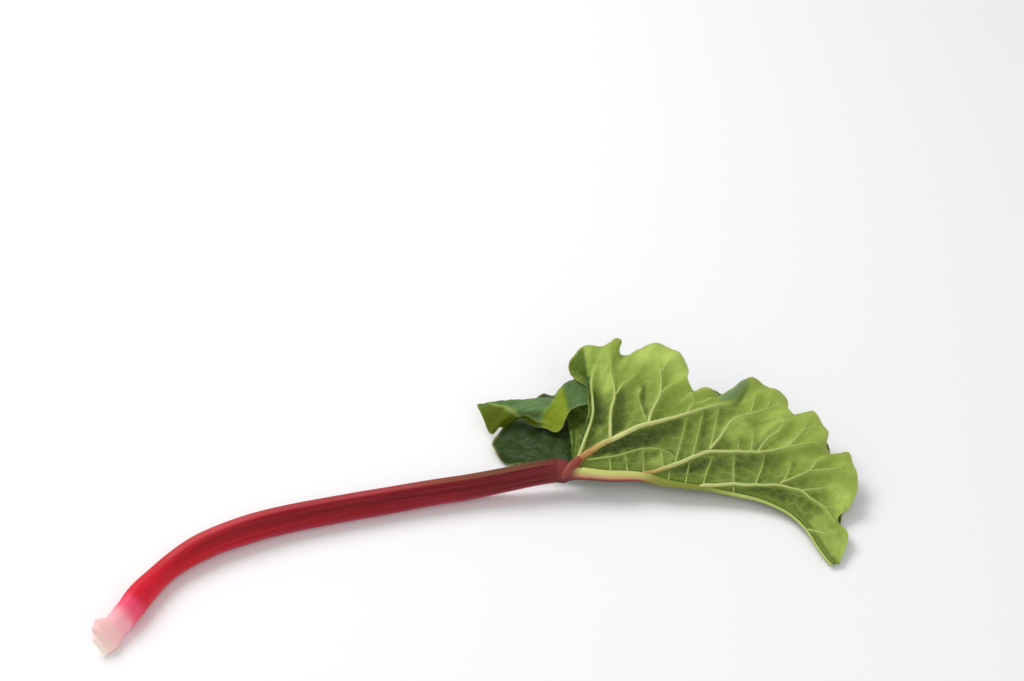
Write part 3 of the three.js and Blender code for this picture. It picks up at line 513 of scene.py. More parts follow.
def right_side(segments, xy):
    """Distance from the segments for the points to the right of them, far off for the others."""
    best, side = np.full(len(xy), FAR_OFF), np.zeros(len(xy))
    for _, away, length in offsets(segments, xy):
        side = np.where(length < best, away[:, 0], side)
        best = np.minimum(best, length)
    return np.where(side > 0, best, FAR_OFF)


def near_side(xy):
    """Closeness to the near side of the main ribs, where the blade falls away from them and gets painted
    shade.
    """
    best = np.full(len(xy), FAR_OFF)
    for d, away, length in offsets(segments_of([NEAR_RIBS[i][2:] for i in SHADE_RIBS]), xy):
        under = d[0] * away[:, 1] - d[1] * away[:, 0] < 0
        best = np.where(under, np.minimum(best, length), best)
    return smooth(1 - best / SHADE_REACH) * smooth(best / SHADE_START)


def strokes(lines, xy):
    """How strongly the drawn lines colour the blade, and how far they move it."""
    tint, move = np.zeros(len(xy)), np.zeros(len(xy))
    for radius, height, strength, *line in lines:
        one = bell(line_distance(segments_of([line]), xy), radius, STROKE_EDGE)
        tint, move = np.maximum(tint, one * strength), np.maximum(move, one * height)
    return tint, move


def flap_masks(notes):
    """The curled flap's lime patch of painted light shining through it, its olive hollow of painted shade and
    the crease over it with a painted highlight.
    """
    along, across = notes[:, 2] * (notes[:, 0] < 0.5), notes[:, 1]
    before, after = np.maximum(0, CREASE_BEFORE[0] - along), np.maximum(0, along - CREASE_AFTER[0])
    past_crease = across - (CREASE_AT + CREASE_BEFORE[1] * before + CREASE_AFTER[1] * after)
    places = {"along": along, "across": across, "past_crease": past_crease}
    masks = {name: np.prod([step(places[place], low, high) for place, low, high in steps], axis=0)
             for name, steps in FLAP_MASKS.items()}
    low, high, strength = FOLD_BACK_RIM
    masks["fold_back"] *= 1 - strength * step(across, low, high)
    masks["crease"] *= bell(past_crease, CREASE_WIDTH)
    return masks


def relief(points, normals, notes):
    """Moves the middle surface, and gives the masks for its colours at each point, among them where painted
    shade and painted light go.
    """
    masks = {name: np.zeros(len(points)) for name in ("rib", "net", "hollow")}
    half_mark, across, along_lobe = notes.T
    plan, rungs, on_near = points[:, :2], segments_of(NEAR_RUNGS), half_mark < 0.5
    masks["shade"] = near_side(plan) * on_near * (along_lobe <= 0)
    # painted shade along the right side of each cross rib
    fold = bell(right_side(rungs, plan) - RUNG_SHADE[0], RUNG_SHADE[1])
    masks["rung_side_shade"] = fold * on_near * np.clip(across * ROOT_FADE, 0, 1)
    calm = on_near * (along_lobe < STROKE_END) * smooth(across * STROKE_ROOT)
    # the deep hollows also carry painted shade, and the pale swellings painted light
    drawn = [strokes(lines, plan) for lines in (DEEP_HOLLOWS, PALE_SWELLS, LIP)]
    (deep, sink), (pale, rise), (lip, turn) = drawn
    masks["deep"], masks["pale"], masks["lip"] = deep * calm * (1 - lip), pale * calm, lip * calm
    lift = (rise + turn - sink) * calm
    for name, half, chosen in (("near", near, on_near), ("far", far, ~on_near)):
        p, share = points[chosen], across[chosen]
        fade = np.clip(share * ROOT_FADE, 0, 1)
        rib = line_distance(half["segments"], p[:, :2])
        net = cell_edge_distance(p, scatter(p[::NET_FROM], NET_SPACING[name], NET_SEED[name]))
        rung = line_distance(rungs, p[:, :2]) if name == "near" else net
        border = np.minimum(rung, rib)
        by_margin = np.clip((1 - share) * PILLOW_EDGE[0], PILLOW_EDGE[1], 1)
        pillow = smooth(border / PILLOW_REACH) * fade * by_margin
        fillet = bell(rib, FILLET_WIDTH)
        line = bell(np.minimum(net, rung * RUNG_LINE), NET_WIDTH) * fade
        ridge = bell(rung, RUNG_SPREAD) * fade * (name == "near")
        cell = smooth(np.minimum(net, border) / CELL_REACH) * fade
        lift[chosen] += (FILLET_HEIGHT * fillet + NET_HEIGHT * line + RUNG_HEIGHT * ridge
                         - PILLOW_DEPTH * pillow - CELL_DEPTH * cell)
        # the pillows' mask also sets where painted shade darkens the hollows between the cross ribs
        masks["rib"][chosen], masks["net"][chosen], masks["hollow"][chosen] = fillet, line, pillow
    masks.update(flap_masks(notes))
    lift -= CREASE_HEIGHT * masks["crease"]
    return points + normals * lift[:, None], masks


# ---- meshes --------------------------------------------------------------------------------------
def make_object(name, points, faces, attributes, replaces, sharp_rims=()):
    """A smooth piece on the root body. An edge between two points of one sharp rim stays sharp."""
    mesh = bpy.data.meshes.new(name)
    mesh.from_pydata([tuple(p) for p in (np.asarray(points) - CENTRE) * MM], [], faces)
    mesh.polygons.foreach_set("use_smooth", [True] * len(mesh.polygons))
    for key, values in attributes.items():
        layer = mesh.attributes.new(key, "FLOAT", "POINT")
        layer.data.foreach_set("value", np.asarray(values, np.float32))
    if sharp_rims:
        rim = np.zeros(len(points), int)
        for number, ids in enumerate(sharp_rims, 1):
            rim[ids] = number
        ends = np.empty(len(mesh.edges) * 2, int)
        mesh.edges.foreach_get("vertices", ends)
        ends = rim[ends.reshape(-1, 2)]
        layer = mesh.attributes.new("sharp_edge", "BOOLEAN", "EDGE")
        layer.data.foreach_set("value", (ends[:, 0] > 0) & (ends[:, 0] == ends[:, 1]))
    mesh.update()
    piece = bpy.data.objects.new(name, mesh)
    bpy.context.scene.collection.objects.link(piece)
    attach(piece, "root")
    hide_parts(replaces)
    return piece


def build_blade():
    """The blade: its middle surface with the relief, given its thickness to both sides."""
    points, sheet, notes = blade_grid()
    points, masks = relief(points, sheet_normals(points, sheet), notes)
    points[:, 2] = np.maximum(points[:, 2], LOWEST_MIDDLE)
    half_thick = sheet_normals(points, sheet) * BLADE_THICK / 2
    count = len(points)
    open_edges = {}
    for face in sheet:
        for p, q in zip(face, face[1:] + face[:1]):
            if (q, p) in open_edges:
                del open_edges[(q, p)]
            else:
                open_edges[(p, q)] = True
    faces = sheet + [[q + count for q in reversed(face)] for face in sheet]
    faces += [[q, p, p + count, q + count] for p, q in open_edges]
    rim = np.array(sorted({p for edge in open_edges for p in edge}))
    from_tip = np.linalg.norm(points - np.array(MIDRIB[-1], float), axis=1)
    attributes = {
        "upper": np.concatenate([np.zeros(count), step(from_tip, *TIP_REACH)]),
        "margin": np.tile(notes[:, 1], 2),
        # far_half also sets where the upper side gets painted shade
        "far_half": np.tile(notes[:, 0], 2),
        **{key: np.tile(values, 2) for key, values in masks.items()},
    }
    both = np.concatenate([points + half_thick, points - half_thick])
    blade = make_object("leaf_blade_fine", both, faces, attributes, "leaf_blade",
                        (rim, rim + count))
    return blade, Sheets(points, sheet, notes)


# ---- ribs ----------------------------------------------------------------------------------------
# a rib's section in shares of its width: across, then up from the blade's face
RIB_SECTION = [(-0.54, -0.4), (-0.48, 0.02), (-0.39, 0.26), (-0.23, 0.45), (0, 0.52), (0.23, 0.45),
               (0.39, 0.26), (0.48, 0.02), (0.54, -0.4), (0, -0.5)]
RIB_END = 7.0  # a rib tapers over this length, to this share of its width
RIB_END_SHARE = 0.25
FEWEST_STEPS = 4
EVEN_PLACES, EVEN_NORMALS = 2, 3
RUNG_RISE = 0.45  # the cross ribs are this much flatter than the ribs
NO_RED = (0.0, 1.0)
# how red the first ribs are at their root, and how far the red runs up them
FLUSH = {0: (0.92, 44.0), 1: (0.75, 16.0), 2: (0.6, 34.0)}
NEAR_SUNK, FAR_SUNK = 3.0, 0.5  # how far the ribs sink into the two halves at most
THIN_RIB, FULL_RIB = 0.8, 3.2  # widths at which a rib starts to be pale, and is as pale as it gets
KNUCKLE_FADE = (56.0, 42.0)  # where the midrib's colour turns to the knuckle's dark red
FOLD_STATIONS = 800
FOLD_SHOULDER = 0.5  # the fold is as high as it gets at this share of the midrib's radius
HIGH_UP = 300


class Sheets:
    """Finds the face of the blade over or under a spot in plan."""

    def __init__(self, points, faces, notes):
        vectors = [Vector(p) for p in points]
        self.trees = {}
        for is_near in (True, False):
            half = [face for face in faces if (notes[face[0], 0] < 0.5) == is_near]
            self.trees[is_near] = BVHTree.FromPolygons(vectors, half)
        self.stations = fold_at(np.linspace(0, 1, FOLD_STATIONS + 1))

    def nearest_fold(self, xy):
        away = np.linalg.norm(self.stations["rib"][:, :2] - xy, axis=1)
        i = int(np.argmin(away))
        return i / FOLD_STATIONS, away[i], i

    def floor(self, xy, is_near):
        """The place and the normal on the blade's outer face, or beside the fold if it is that near."""
        sign = 1 if is_near else -1
        _, away, i = self.nearest_fold(xy)
        radius, opening = self.stations["radius"][i, 0], self.stations["opening"][i, 0]
        if away > radius + GAP + BLADE_THICK / 2 + opening:
            above = Vector((xy[0], xy[1], sign * HIGH_UP))
            hit, normal, _, _ = self.trees[is_near].ray_cast(above, Vector((0, 0, -sign)))
            if hit is not None:
                normal = np.array(normal) * (1 if normal[2] * sign > 0 else -1)
                return np.array(hit) + normal * BLADE_THICK / 2, normal
        rise = (opening + BLADE_THICK / 2) * min(1, away / (FOLD_SHOULDER * radius))
        return np.array([*xy[:2], self.stations["rib"][i, 2] + sign * rise]), np.array([0, 0, float(sign)])


def loft(rings):
    """Faces of a closed tube through rings of equal size, numbered from 0."""
    count, sides = len(rings), len(rings[0])
    faces = []
    for i in range(count - 1):
        for j in range(sides):
            a, b = i * sides + j, i * sides + (j + 1) % sides
            faces.append([a, b, b + sides, a + sides])
    faces.append(list(reversed(range(sides))))
    faces.append([(count - 1) * sides + j for j in range(sides)])
    return faces


def outward(points, faces):
    """The faces of a closed body, turned to face out."""
    middle = points.mean(0)
    volume = 0.0
    for face in faces:
        p = points[face] - middle
        for i in range(1, len(face) - 1):
            volume += p[0] @ np.cross(p[i], p[i + 1])
    return faces if volume > 0 else [list(reversed(face)) for face in faces]


def even_out(values, times):
    """Each value is set to the mean of itself and its neighbours, that many times."""
    for _ in range(times):
        padded = np.concatenate([values[:1], values, values[-1:]])
        values = (padded[:-2] + padded[1:-1] + padded[2:]) / 3
    return values


def rib_tube(sheets, rib, is_near, redness=NO_RED, rise=1.0, sunk=NEAR_SUNK):
    """Rings of one rib lying on the blade, with how red and how thick it is at each, and its kind."""
    start, end, drawn = rib[0], rib[1], rib[2:]
    v, away, _ = sheets.nearest_fold(np.array(drawn[0], float))
    line = [list(fold_at(v)["rib"][0, :2])] + drawn[1:] if away < ROOT_REACH else drawn
    road = Road(line)
    stops = np.linspace(0, road.run, max(FEWEST_STEPS, math.ceil(road.run / RIB_STEP)) + 1)
    found = [sheets.floor(xy, is_near) for xy in through(line, road.at(stops))]
    base = even_out(np.array([f[0] for f in found]), EVEN_PLACES)
    normal = unit(even_out(np.array([f[1] for f in found]), EVEN_NORMALS))
    side = unit(np.cross(normal, unit(np.gradient(base, axis=0))))
    width = start + (end - start) * stops / road.run
    flush = redness[0] * np.clip(1 - stops / redness[1], 0, 1)
    thick = np.clip((width - THIN_RIB) / (FULL_RIB - THIN_RIB), 0, 1)
    width = (width * (RIB_END_SHARE + (1 - RIB_END_SHARE) * smooth((road.run - stops) / RIB_END)))[:, None]
    across, up = np.array(RIB_SECTION).T
    height = np.maximum(np.where(up > 0, up * rise, up) * width, -sunk)
    rings = base[:, None] + side[:, None] * (across * width)[..., None] + normal[:, None] * height[..., None]
    return rings, flush, thick, "rib"


def round_tube(at, back, up, radius, flush, kind):
    """Rings of a round tube about the places, in the plane of the two directions."""
    a = np.linspace(0, 2 * math.pi, MIDRIB_SIDES, endpoint=False)
    way = back[:, None] * np.cos(a)[None, :, None] + up[:, None] * np.sin(a)[None, :, None]
    return at[:, None] + way * radius[:, None], np.full(len(at), flush), np.ones(len(at)), kind


def build_ribs(sheets, stalk_end):
    """Every rib, the midrib and the knuckle, as tubes that run into each other."""
    parts = [rib_tube(sheets, rib, True, FLUSH.get(i, NO_RED)) for i, rib in enumerate(NEAR_RIBS)]
    parts += [rib_tube(sheets, [*RUNG_WIDTH, *rung], True, rise=RUNG_RISE) for rung in NEAR_RUNGS]
    parts += [rib_tube(sheets, rib, False, sunk=FAR_SUNK) for rib in FAR_RIBS]
    fold = fold_at(np.linspace(MIDRIB_START, MIDRIB_END, MIDRIB_RINGS))
    parts.append(round_tube(fold["rib"], fold["back"], fold["up"], fold["radius"], 0.0, "midrib"))
    place = through(ROOT_RIDGE, np.linspace(0, len(ROOT_RIDGE) - 1, RIDGE_RINGS))
    ahead = unit(np.gradient(place[:, :3], axis=0))
    back = level_back(ahead)
    parts.append(round_tube(place[:, :3], back, np.cross(ahead, back), place[:, 3:], 1.0, "ridge"))
    knuckle = knuckle_rings(stalk_end)
    parts.append((knuckle, np.ones(len(knuckle)), np.ones(len(knuckle)), "knuckle"))
    points, faces, notes, count = [], [], [], 0
    for rings, flush, thick, kind in parts:
        flat = rings.reshape(-1, 3)
        sides = rings.shape[1]
        faces += [[i + count for i in face] for face in outward(flat, loft(rings))]
        points.append(flat)
        count += len(flat)
        # how far round towards the underside, -1 on top to 1 below
        drop = rings.mean(1, keepdims=True)[..., 2] - rings[..., 2]
        low = drop / np.abs(drop).max(1, keepdims=True)
        fade = step(flat[:, 0], *KNUCKLE_FADE) * (kind == "knuckle")
        notes.append(np.stack([np.repeat(flush, sides), np.repeat(thick, sides), low.reshape(-1),
                               np.full(len(flat), float(kind in ("midrib", "knuckle"))), fade]))
    points = np.concatenate(points)
    notes = np.concatenate(notes, axis=1)
    attributes = dict(zip(("flush", "thick", "underneath", "midrib", "knuckle"), notes))
    attributes["from_knuckle"] = np.linalg.norm(points - np.array(MIDRIB[0]), axis=1)
    return make_object("leaf_ribs_fine", points, faces, attributes, "leaf_ribs")


# ---- stalk ---------------------------------------------------------------------------------------
STRIA_HEIGHT = 0.07  # the fine lines along the stalk
STRIAE = 17
STRIA_WANDER = (4.2, 5)  # how often they wander, around and along the stalk
STRIA_FROM = 0.06  # share of the stalk from which they are full
STRIA_CLEAR = 0.4  # and height over the table
FLAT_FACE = (0.24, 0.3)  # heights in the section between which the flat face starts
# rings past the cut end: size in shares of the end's, and how far out
BUTT_END = ((0.98, -0.8), (0.93, -1.7), (0.84, -2.5), (0.7, -3.2), (0.5, -3.6), (0.25, -3.8), (0.06, -3.9))
BUTT_MARK = -1  # what "along" starts from past the cut end
KNUCKLE_BACK = 0.6  # the knuckle starts this far inside the stalk
KNUCKLE_RINGS = 70
KNUCKLE_TURN, KNUCKLE_ROUND = 1.2, 2.2  # points of the knuckle over which it turns and gets round
stalk_road = Road(STALK_PATH)


def section_loop():
    """The stalk's section, as a smooth loop through its half and the mirrored one."""
    half = np.array(SECTION, float)
    loop = np.concatenate([half, half[1:-1][::-1] * [-1, 1]])
    wrapped = np.concatenate([loop[-2:], loop, loop[:3]])
    return through(wrapped, 2 + np.arange(STALK_SIDES) * len(loop) / STALK_SIDES)


def stalk_frame(t):
    """Place and directions at share t of the stalk: ahead, across it and out of its flat face."""
    last = len(STALK_PATH) - 1
    u = stalk_road.at(t * stalk_road.run)
    here = np.append(through(STALK_PATH, u)[0], 0)
    ahead = through(STALK_PATH, min(u + NUDGE, last))[0] - through(STALK_PATH, max(u - NUDGE, 0))[0]
    ahead = unit(np.append(ahead, 0))
    back = np.array([-ahead[1], ahead[0], 0])
    turn = math.radians(float(graph(STALK_TURN, t)))
    flat = back * math.cos(turn) + np.array([0, 0, math.sin(turn)])
    return here, ahead, np.cross(ahead, flat), flat


def stalk_ring(t, loop):
    here, _, across, flat = stalk_frame(t)
    width, depth = float(graph(STALK_WIDTH, t)), float(graph(STALK_DEPTH, t))
    ring = here + across * (loop[:, :1] * width) + flat * (loop[:, 1:] * depth)
    lift = float(graph(STALK_LIFT, t)) - ring[:, 2].min()
    ring[:, 2] = np.maximum(0, ring[:, 2] + lift)
    return ring


def build_stalk():
    """The stalk with its fine lines and rounded butt, and its last ring for the knuckle."""
    loop = section_loop()
    around = np.arange(STALK_SIDES) / STALK_SIDES
    turn = around * 2 * math.pi
    on_flat = step(loop[:, 1], *FLAT_FACE)
    often, slow = STRIA_WANDER
    circle = [(math.cos(a) * often, math.sin(a) * often) for a in turn]
    rings, notes = [], []
    for t in np.linspace(0, 1, STALK_RINGS):
        ring = stalk_ring(t, loop)
        wave = np.array([noise.noise(Vector((x, y, t * slow))) for x, y in circle])
        stria = STRIA_HEIGHT * (np.cos(turn * STRIAE + 2 * wave) * 0.5 + wave) * (1 - on_flat)
        stria *= smooth(t / STRIA_FROM) * (ring[:, 2] > STRIA_CLEAR)
        rings.append(ring + unit(ring - ring.mean(0)) * stria[:, None])
        notes.append(np.stack([np.full(STALK_SIDES, t * stalk_road.run), around, loop[:, 0], on_flat], -1))
    start = rings[0]
    middle, ahead = start.mean(0), stalk_frame(0)[1]
    for inner, out in BUTT_END:
        ring = middle + (start - middle) * inner + ahead * out
        ring[:, 2] = np.maximum(ring[:, 2], 0)
        rings.insert(0, ring)
        notes.insert(0, notes[0] * [0, 1, 1, 1] + [out + BUTT_MARK, 0, 0, 0])
    rings, notes = np.array(rings), np.concatenate(notes)
    points = rings.reshape(-1, 3)
    attributes = {key: notes[:, i] for i, key in enumerate(("along", "around", "upright", "flat_side"))}
    stalk = make_object("stalk_fine", points, outward(points, loft(rings)), attributes, "stalk")
    return stalk, rings[-1]


def knuckle_rings(stalk_end):
    """From the end of the stalk, whose section it starts with, to the round midrib."""
    _, ahead, across, flat = stalk_frame(1)
    middle = stalk_end.mean(0)
    places = np.array([[*(middle - ahead * KNUCKLE_BACK), KNUCKLE_START]] + KNUCKLE)
    u = np.linspace(0, len(places) - 1, KNUCKLE_RINGS)
    way = through(places, u)
    forward = unit(np.gradient(way[:, :3], axis=0))
    forward = unit(ahead + (forward - ahead) * smooth(u / KNUCKLE_TURN)[:, None])
    back = level_back(forward)
    turn = math.radians(float(graph(STALK_TURN, 1)))
    flat_way = back * math.cos(turn) + np.cross(forward, back) * math.sin(turn)
    across_way = np.cross(forward, flat_way)
    a, b = (stalk_end - middle) @ across, (stalk_end - middle) @ flat
    size = np.hypot(a, b)
    rings = []
    for i, mix in enumerate(smooth(u / KNUCKLE_ROUND)):
        reach = size * (1 - mix) + way[i, 3] * mix
        rings.append(way[i, :3] + across_way[i] * (a / size * reach)[:, None]
                     + flat_way[i] * (b / size * reach)[:, None])
    return np.array(rings)


# ---- materials -----------------------------------------------------------------------------------
BUMP_DISTANCE = 0.0004
SMALL_NET_SCALE = 330.0
STREAKS = (40.0, 0.012)  # how close the stalk's streaks lie, round it and along it
GLOW_SHARE = 0.25  # light that the thin blade lets through
# the stalk's colour along it, and the reddish rib's; the first two stops are the ends
STALK_COLOURS = [
    (0.0, (255, 222, 212)), (1.0, (84, 30, 28)), (0.02, (255, 200, 198)), (0.05, (255, 178, 188)),
    (0.08, (244, 84, 118)), (0.115, (216, 32, 52)), (0.25, (190, 28, 40)), (0.5, (150, 24, 34)),
    (0.75, (130, 26, 34)), (0.93, (98, 30, 32))]
FLUSH_COLOURS = [(0.0, (206, 204, 130)), (1.0, (150, 72, 64)), (0.25, (200, 186, 112)),
                 (0.5, (192, 150, 88)), (0.75, (180, 104, 76))]
# bands of the midrib from its top to its underside, and from the knuckle to the tip: from, to, colour. The
# pale top band is a painted highlight; the dark red underneath is the rib's own red darkened with painted
# shade.
MIDRIB_ROUND = [(-0.85, -0.55, (206, 174, 120)), (-0.4, -0.12, (178, 98, 84)), (0.0, 0.3, (112, 42, 44))]
MIDRIB_ALONG = [(46.0, 66.0, (134, 142, 58)), (100.0, 130.0, (176, 190, 104))]
# what tints the blade's pale outer side and its dark upper side, in turn: mask, strength, colour.
# Painted shade: the hollows between the cross ribs, the near side of the main ribs, the side of each cross
# rib, the deep hollows, the far half and the flap's olive hollow. Painted light: the pale swellings, the
# flap's lime patch shining through, and the crease's highlight. The folded-back part is painted shade with
# light shining through it, and the flap's blue-green is a painted sky reflection.
UNDER_TINTS = [
    ("hollow", 0.35, (96, 120, 36)), ("pale", 0.85, (210, 236, 116)), ("shade", 0.3, (84, 104, 32)),
    ("rung_side_shade", 0.35, (72, 92, 28)), ("veins", 0.35, (190, 206, 104)), ("deep", 0.72, (42, 52, 14)),
    ("fold_back", 0.85, (68, 100, 0)), ("lip", 1, (142, 170, 118)), ("small_net", 0.18, (178, 196, 116))]
OVER_TINTS = [
    ("upper_veins", 1, (134, 160, 84)), ("small_net", 0.15, (110, 142, 76)), ("far_half", 0.7, (36, 50, 20)),
    ("flap", 1, "bloom"), ("bend_side", 0.8, (112, 118, 46)), ("lime", 1, (150, 172, 40)),
    ("olive", 1, (106, 122, 24)), ("crease", 0.8, (176, 194, 96))]


def linear(colour):
    """A colour of 0 to 255 as the shader takes it."""
    return [c / 12.92 / 255 if c <= 10.31 else ((c / 255 + 0.055) / 1.055) ** 2.4 for c in colour] + [1.0]


class Nodes:
    """Short hands for building a node tree. A value is a number or another node's socket."""

    def __init__(self, tree):
        self.tree = tree

    def node(self, kind, inputs=(), **values):
        n = self.tree.nodes.new(kind)
        for key, value in values.items():
            setattr(n, key, value)
        self.give(n, inputs)
        return n

    def give(self, node, inputs):
        for key, value in dict(inputs).items():
            if isinstance(value, bpy.types.NodeSocket):
                self.tree.links.new(value, node.inputs[key])
            else:
                node.inputs[key].default_value = value

    def attribute(self, name):
        return self.node("ShaderNodeAttribute", attribute_name=name).outputs["Fac"]

    def math(self, operation, a, b):
        return self.node("ShaderNodeMath", {0: a, 1: b}, operation=operation).outputs[0]

    def times(self, first, *others):
        for other in others:
            first = self.math("MULTIPLY", first, other)
        return first

    def shifted(self, value, noise_value, strength):
        """The value, moved up and down by the noise."""
        return self.math("ADD", value, self.times(self.math("SUBTRACT", noise_value, 0.5), strength))

    def span(self, value, low, high, to_low=0.0, to_high=1.0):
        given = {"Value": value, "From Min": low, "From Max": high, "To Min": to_low, "To Max": to_high}
        return self.node("ShaderNodeMapRange", given, interpolation_type="SMOOTHSTEP").outputs["Result"]

    def mix(self, factor, a, b):
        a, b = (linear(c) if isinstance(c, tuple) else c for c in (a, b))
        return self.node("ShaderNodeMix", {0: factor, 6: a, 7: b}, data_type="RGBA").outputs[2]

    def tint(self, skin, mask, strength, colour):
        return self.mix(mask if strength == 1 else self.times(mask, strength), skin, colour)

    def bands(self, skin, value, rows):
        for low, high, colour in rows:
            skin = self.mix(self.span(value, low, high), skin, colour)
        return skin

    def ramp(self, value, stops):
        n = self.node("ShaderNodeValToRGB", {"Fac": value})
        n.color_ramp.interpolation = "EASE"
        for i, (at, colour) in enumerate(stops):
            stop = n.color_ramp.elements[i] if i < 2 else n.color_ramp.elements.new(at)
            stop.position = at
            stop.color = linear(colour)
        return n.outputs["Color"]

    def bump(self, height, strength):
        given = {"Height": height, "Strength": strength, "Distance": BUMP_DISTANCE}
        return self.node("ShaderNodeBump", given).outputs[0]


def mottle_group():
    """Soft patches and fine grain over any surface, from its own place in space."""
    tree = bpy.data.node_groups.new("plant_mottle", "ShaderNodeTree")
    for name, value in (("Patch Scale", 30.0), ("Grain Scale", 400.0)):
        tree.interface.new_socket(name, in_out="INPUT", socket_type="NodeSocketFloat").default_value = value
    for name in ("Patch", "Grain"):
        tree.interface.new_socket(name, in_out="OUTPUT", socket_type="NodeSocketFloat")
    n = Nodes(tree)
    inputs, outputs = n.node("NodeGroupInput"), n.node("NodeGroupOutput")
    place = n.node("ShaderNodeTexCoord").outputs["Object"]
    for name, detail in (("Patch", 3.0), ("Grain", 2.0)):
        given = {"Vector": place, "Scale": inputs.outputs[f"{name} Scale"], "Detail": detail}
        n.give(outputs, {name: n.node("ShaderNodeTexNoise", given).outputs["Fac"]})
    return tree


def new_material(name, mottle, patch_scale, grain_scale):
    """A material with its nodes, its shader and its mottle."""
    material = bpy.data.materials.new(name)
    material.use_nodes = True
    n = Nodes(material.node_tree)
    scales = {"Patch Scale": patch_scale, "Grain Scale": grain_scale}
    blotch = n.node("ShaderNodeGroup", scales, node_tree=mottle)
    return material, n, material.node_tree.nodes["Principled BSDF"], blotch.outputs


def stalk_material(mottle):
    material, n, shader, blotch = new_material("stalk_skin", mottle, 38.0, 900.0)
    along, around, upright = (n.attribute(key) for key in ("along", "around", "upright"))
    share = n.math("DIVIDE", along, stalk_road.run)
    given = {"X": n.times(around, STREAKS[0]), "Y": n.times(along, STREAKS[1])}
    stretched = n.node("ShaderNodeCombineXYZ", given)
    given = {"Vector": stretched.outputs[0], "Scale": 1.0, "Detail": 4.0}
    streak = n.node("ShaderNodeTexNoise", given).outputs["Fac"]
    body, grown = n.span(share, 0.15, 0.34), n.span(share, 0.06, 0.18)
    tints = [
        # painted shade darkens the round face to deep red, a painted reflection of the table turns the
        # underside pink, a painted highlight lightens the corner, and the top by the leaf is brown
        (n.times(n.span(upright, 0.0, 0.26), n.span(upright, 0.48, 0.44), body), 0.5, (96, 12, 20)),
        (n.times(n.span(upright, -0.1, -0.4), n.span(share, 0.03, 0.2)), 0.45, (212, 80, 112)),
        (n.times(n.span(upright, 0.465, 0.495), body, n.span(share, 0.9, 0.7)), 0.35, (206, 96, 100)),
        (n.times(n.span(upright, 0.45, 0.49), n.span(share, 0.66, 0.8)), n.span(share, 1.0, 0.9, 0.35, 0.55),
         (112, 84, 48)),
        # the light and dark streaks
        (n.times(n.span(streak, 0.42, 0.7), grown), 0.12, (222, 84, 92)),
        (n.times(n.span(streak, 0.44, 0.3), grown), 0.2, (88, 8, 14)),
        # the olive flat face, the pale cut end and the brown end by the knuckle
        (n.attribute("flat_side"), n.span(share, 0.35, 0.95, 0.0, 0.6), (128, 96, 52)),
        (n.span(along, 0.5, -4.0), 1, (255, 236, 222)),
        (n.span(share, 0.965, 1.0), 1, (116, 46, 44)),
    ]
    skin = n.ramp(n.shifted(share, blotch["Patch"], 0.03), STALK_COLOURS)
    for mask, strength, colour in tints:
        skin = n.tint(skin, mask, strength, colour)
    n.give(shader, {
        "Base Color": skin, "Roughness": n.span(blotch["Patch"], 0.3, 0.7, 0.4, 0.5),
        "Specular IOR Level": 0.12, "Normal": n.bump(streak, 0.2), "Subsurface Weight": 0.12,
        "Subsurface Radius": (0.006, 0.002, 0.002), "Subsurface Scale": 0.5})
    return material


def rib_material(mottle):
    material, n, shader, blotch = new_material("rib_skin", mottle, 60.0, 900.0)
    low, flush = n.attribute("underneath"), n.attribute("flush")
    skin = n.mix(n.attribute("thick"), (166, 184, 96), (206, 212, 138))
    red = n.ramp(n.shifted(flush, blotch["Patch"], 0.2), FLUSH_COLOURS)
    skin = n.mix(n.span(flush, 0.0, 0.2), skin, red)
    midrib = n.bands(n.bands((196, 200, 116), low, MIDRIB_ROUND), n.attribute("from_knuckle"), MIDRIB_ALONG)
    skin = n.mix(n.attribute("midrib"), skin, midrib)
    # the knuckle's root, darker towards its underside: painted shade
    root = n.mix(n.span(low, -0.2, 0.8), (126, 52, 50), (78, 26, 30))
    n.give(shader, {
        "Base Color": n.mix(n.attribute("knuckle"), skin, root),
        "Roughness": n.span(blotch["Patch"], 0.3, 0.7, 0.4, 0.52), "Specular IOR Level": 0.2,
        "Subsurface Weight": 0.1, "Subsurface Radius": (0.004, 0.003, 0.0015), "Subsurface Scale": 0.4})
    return material


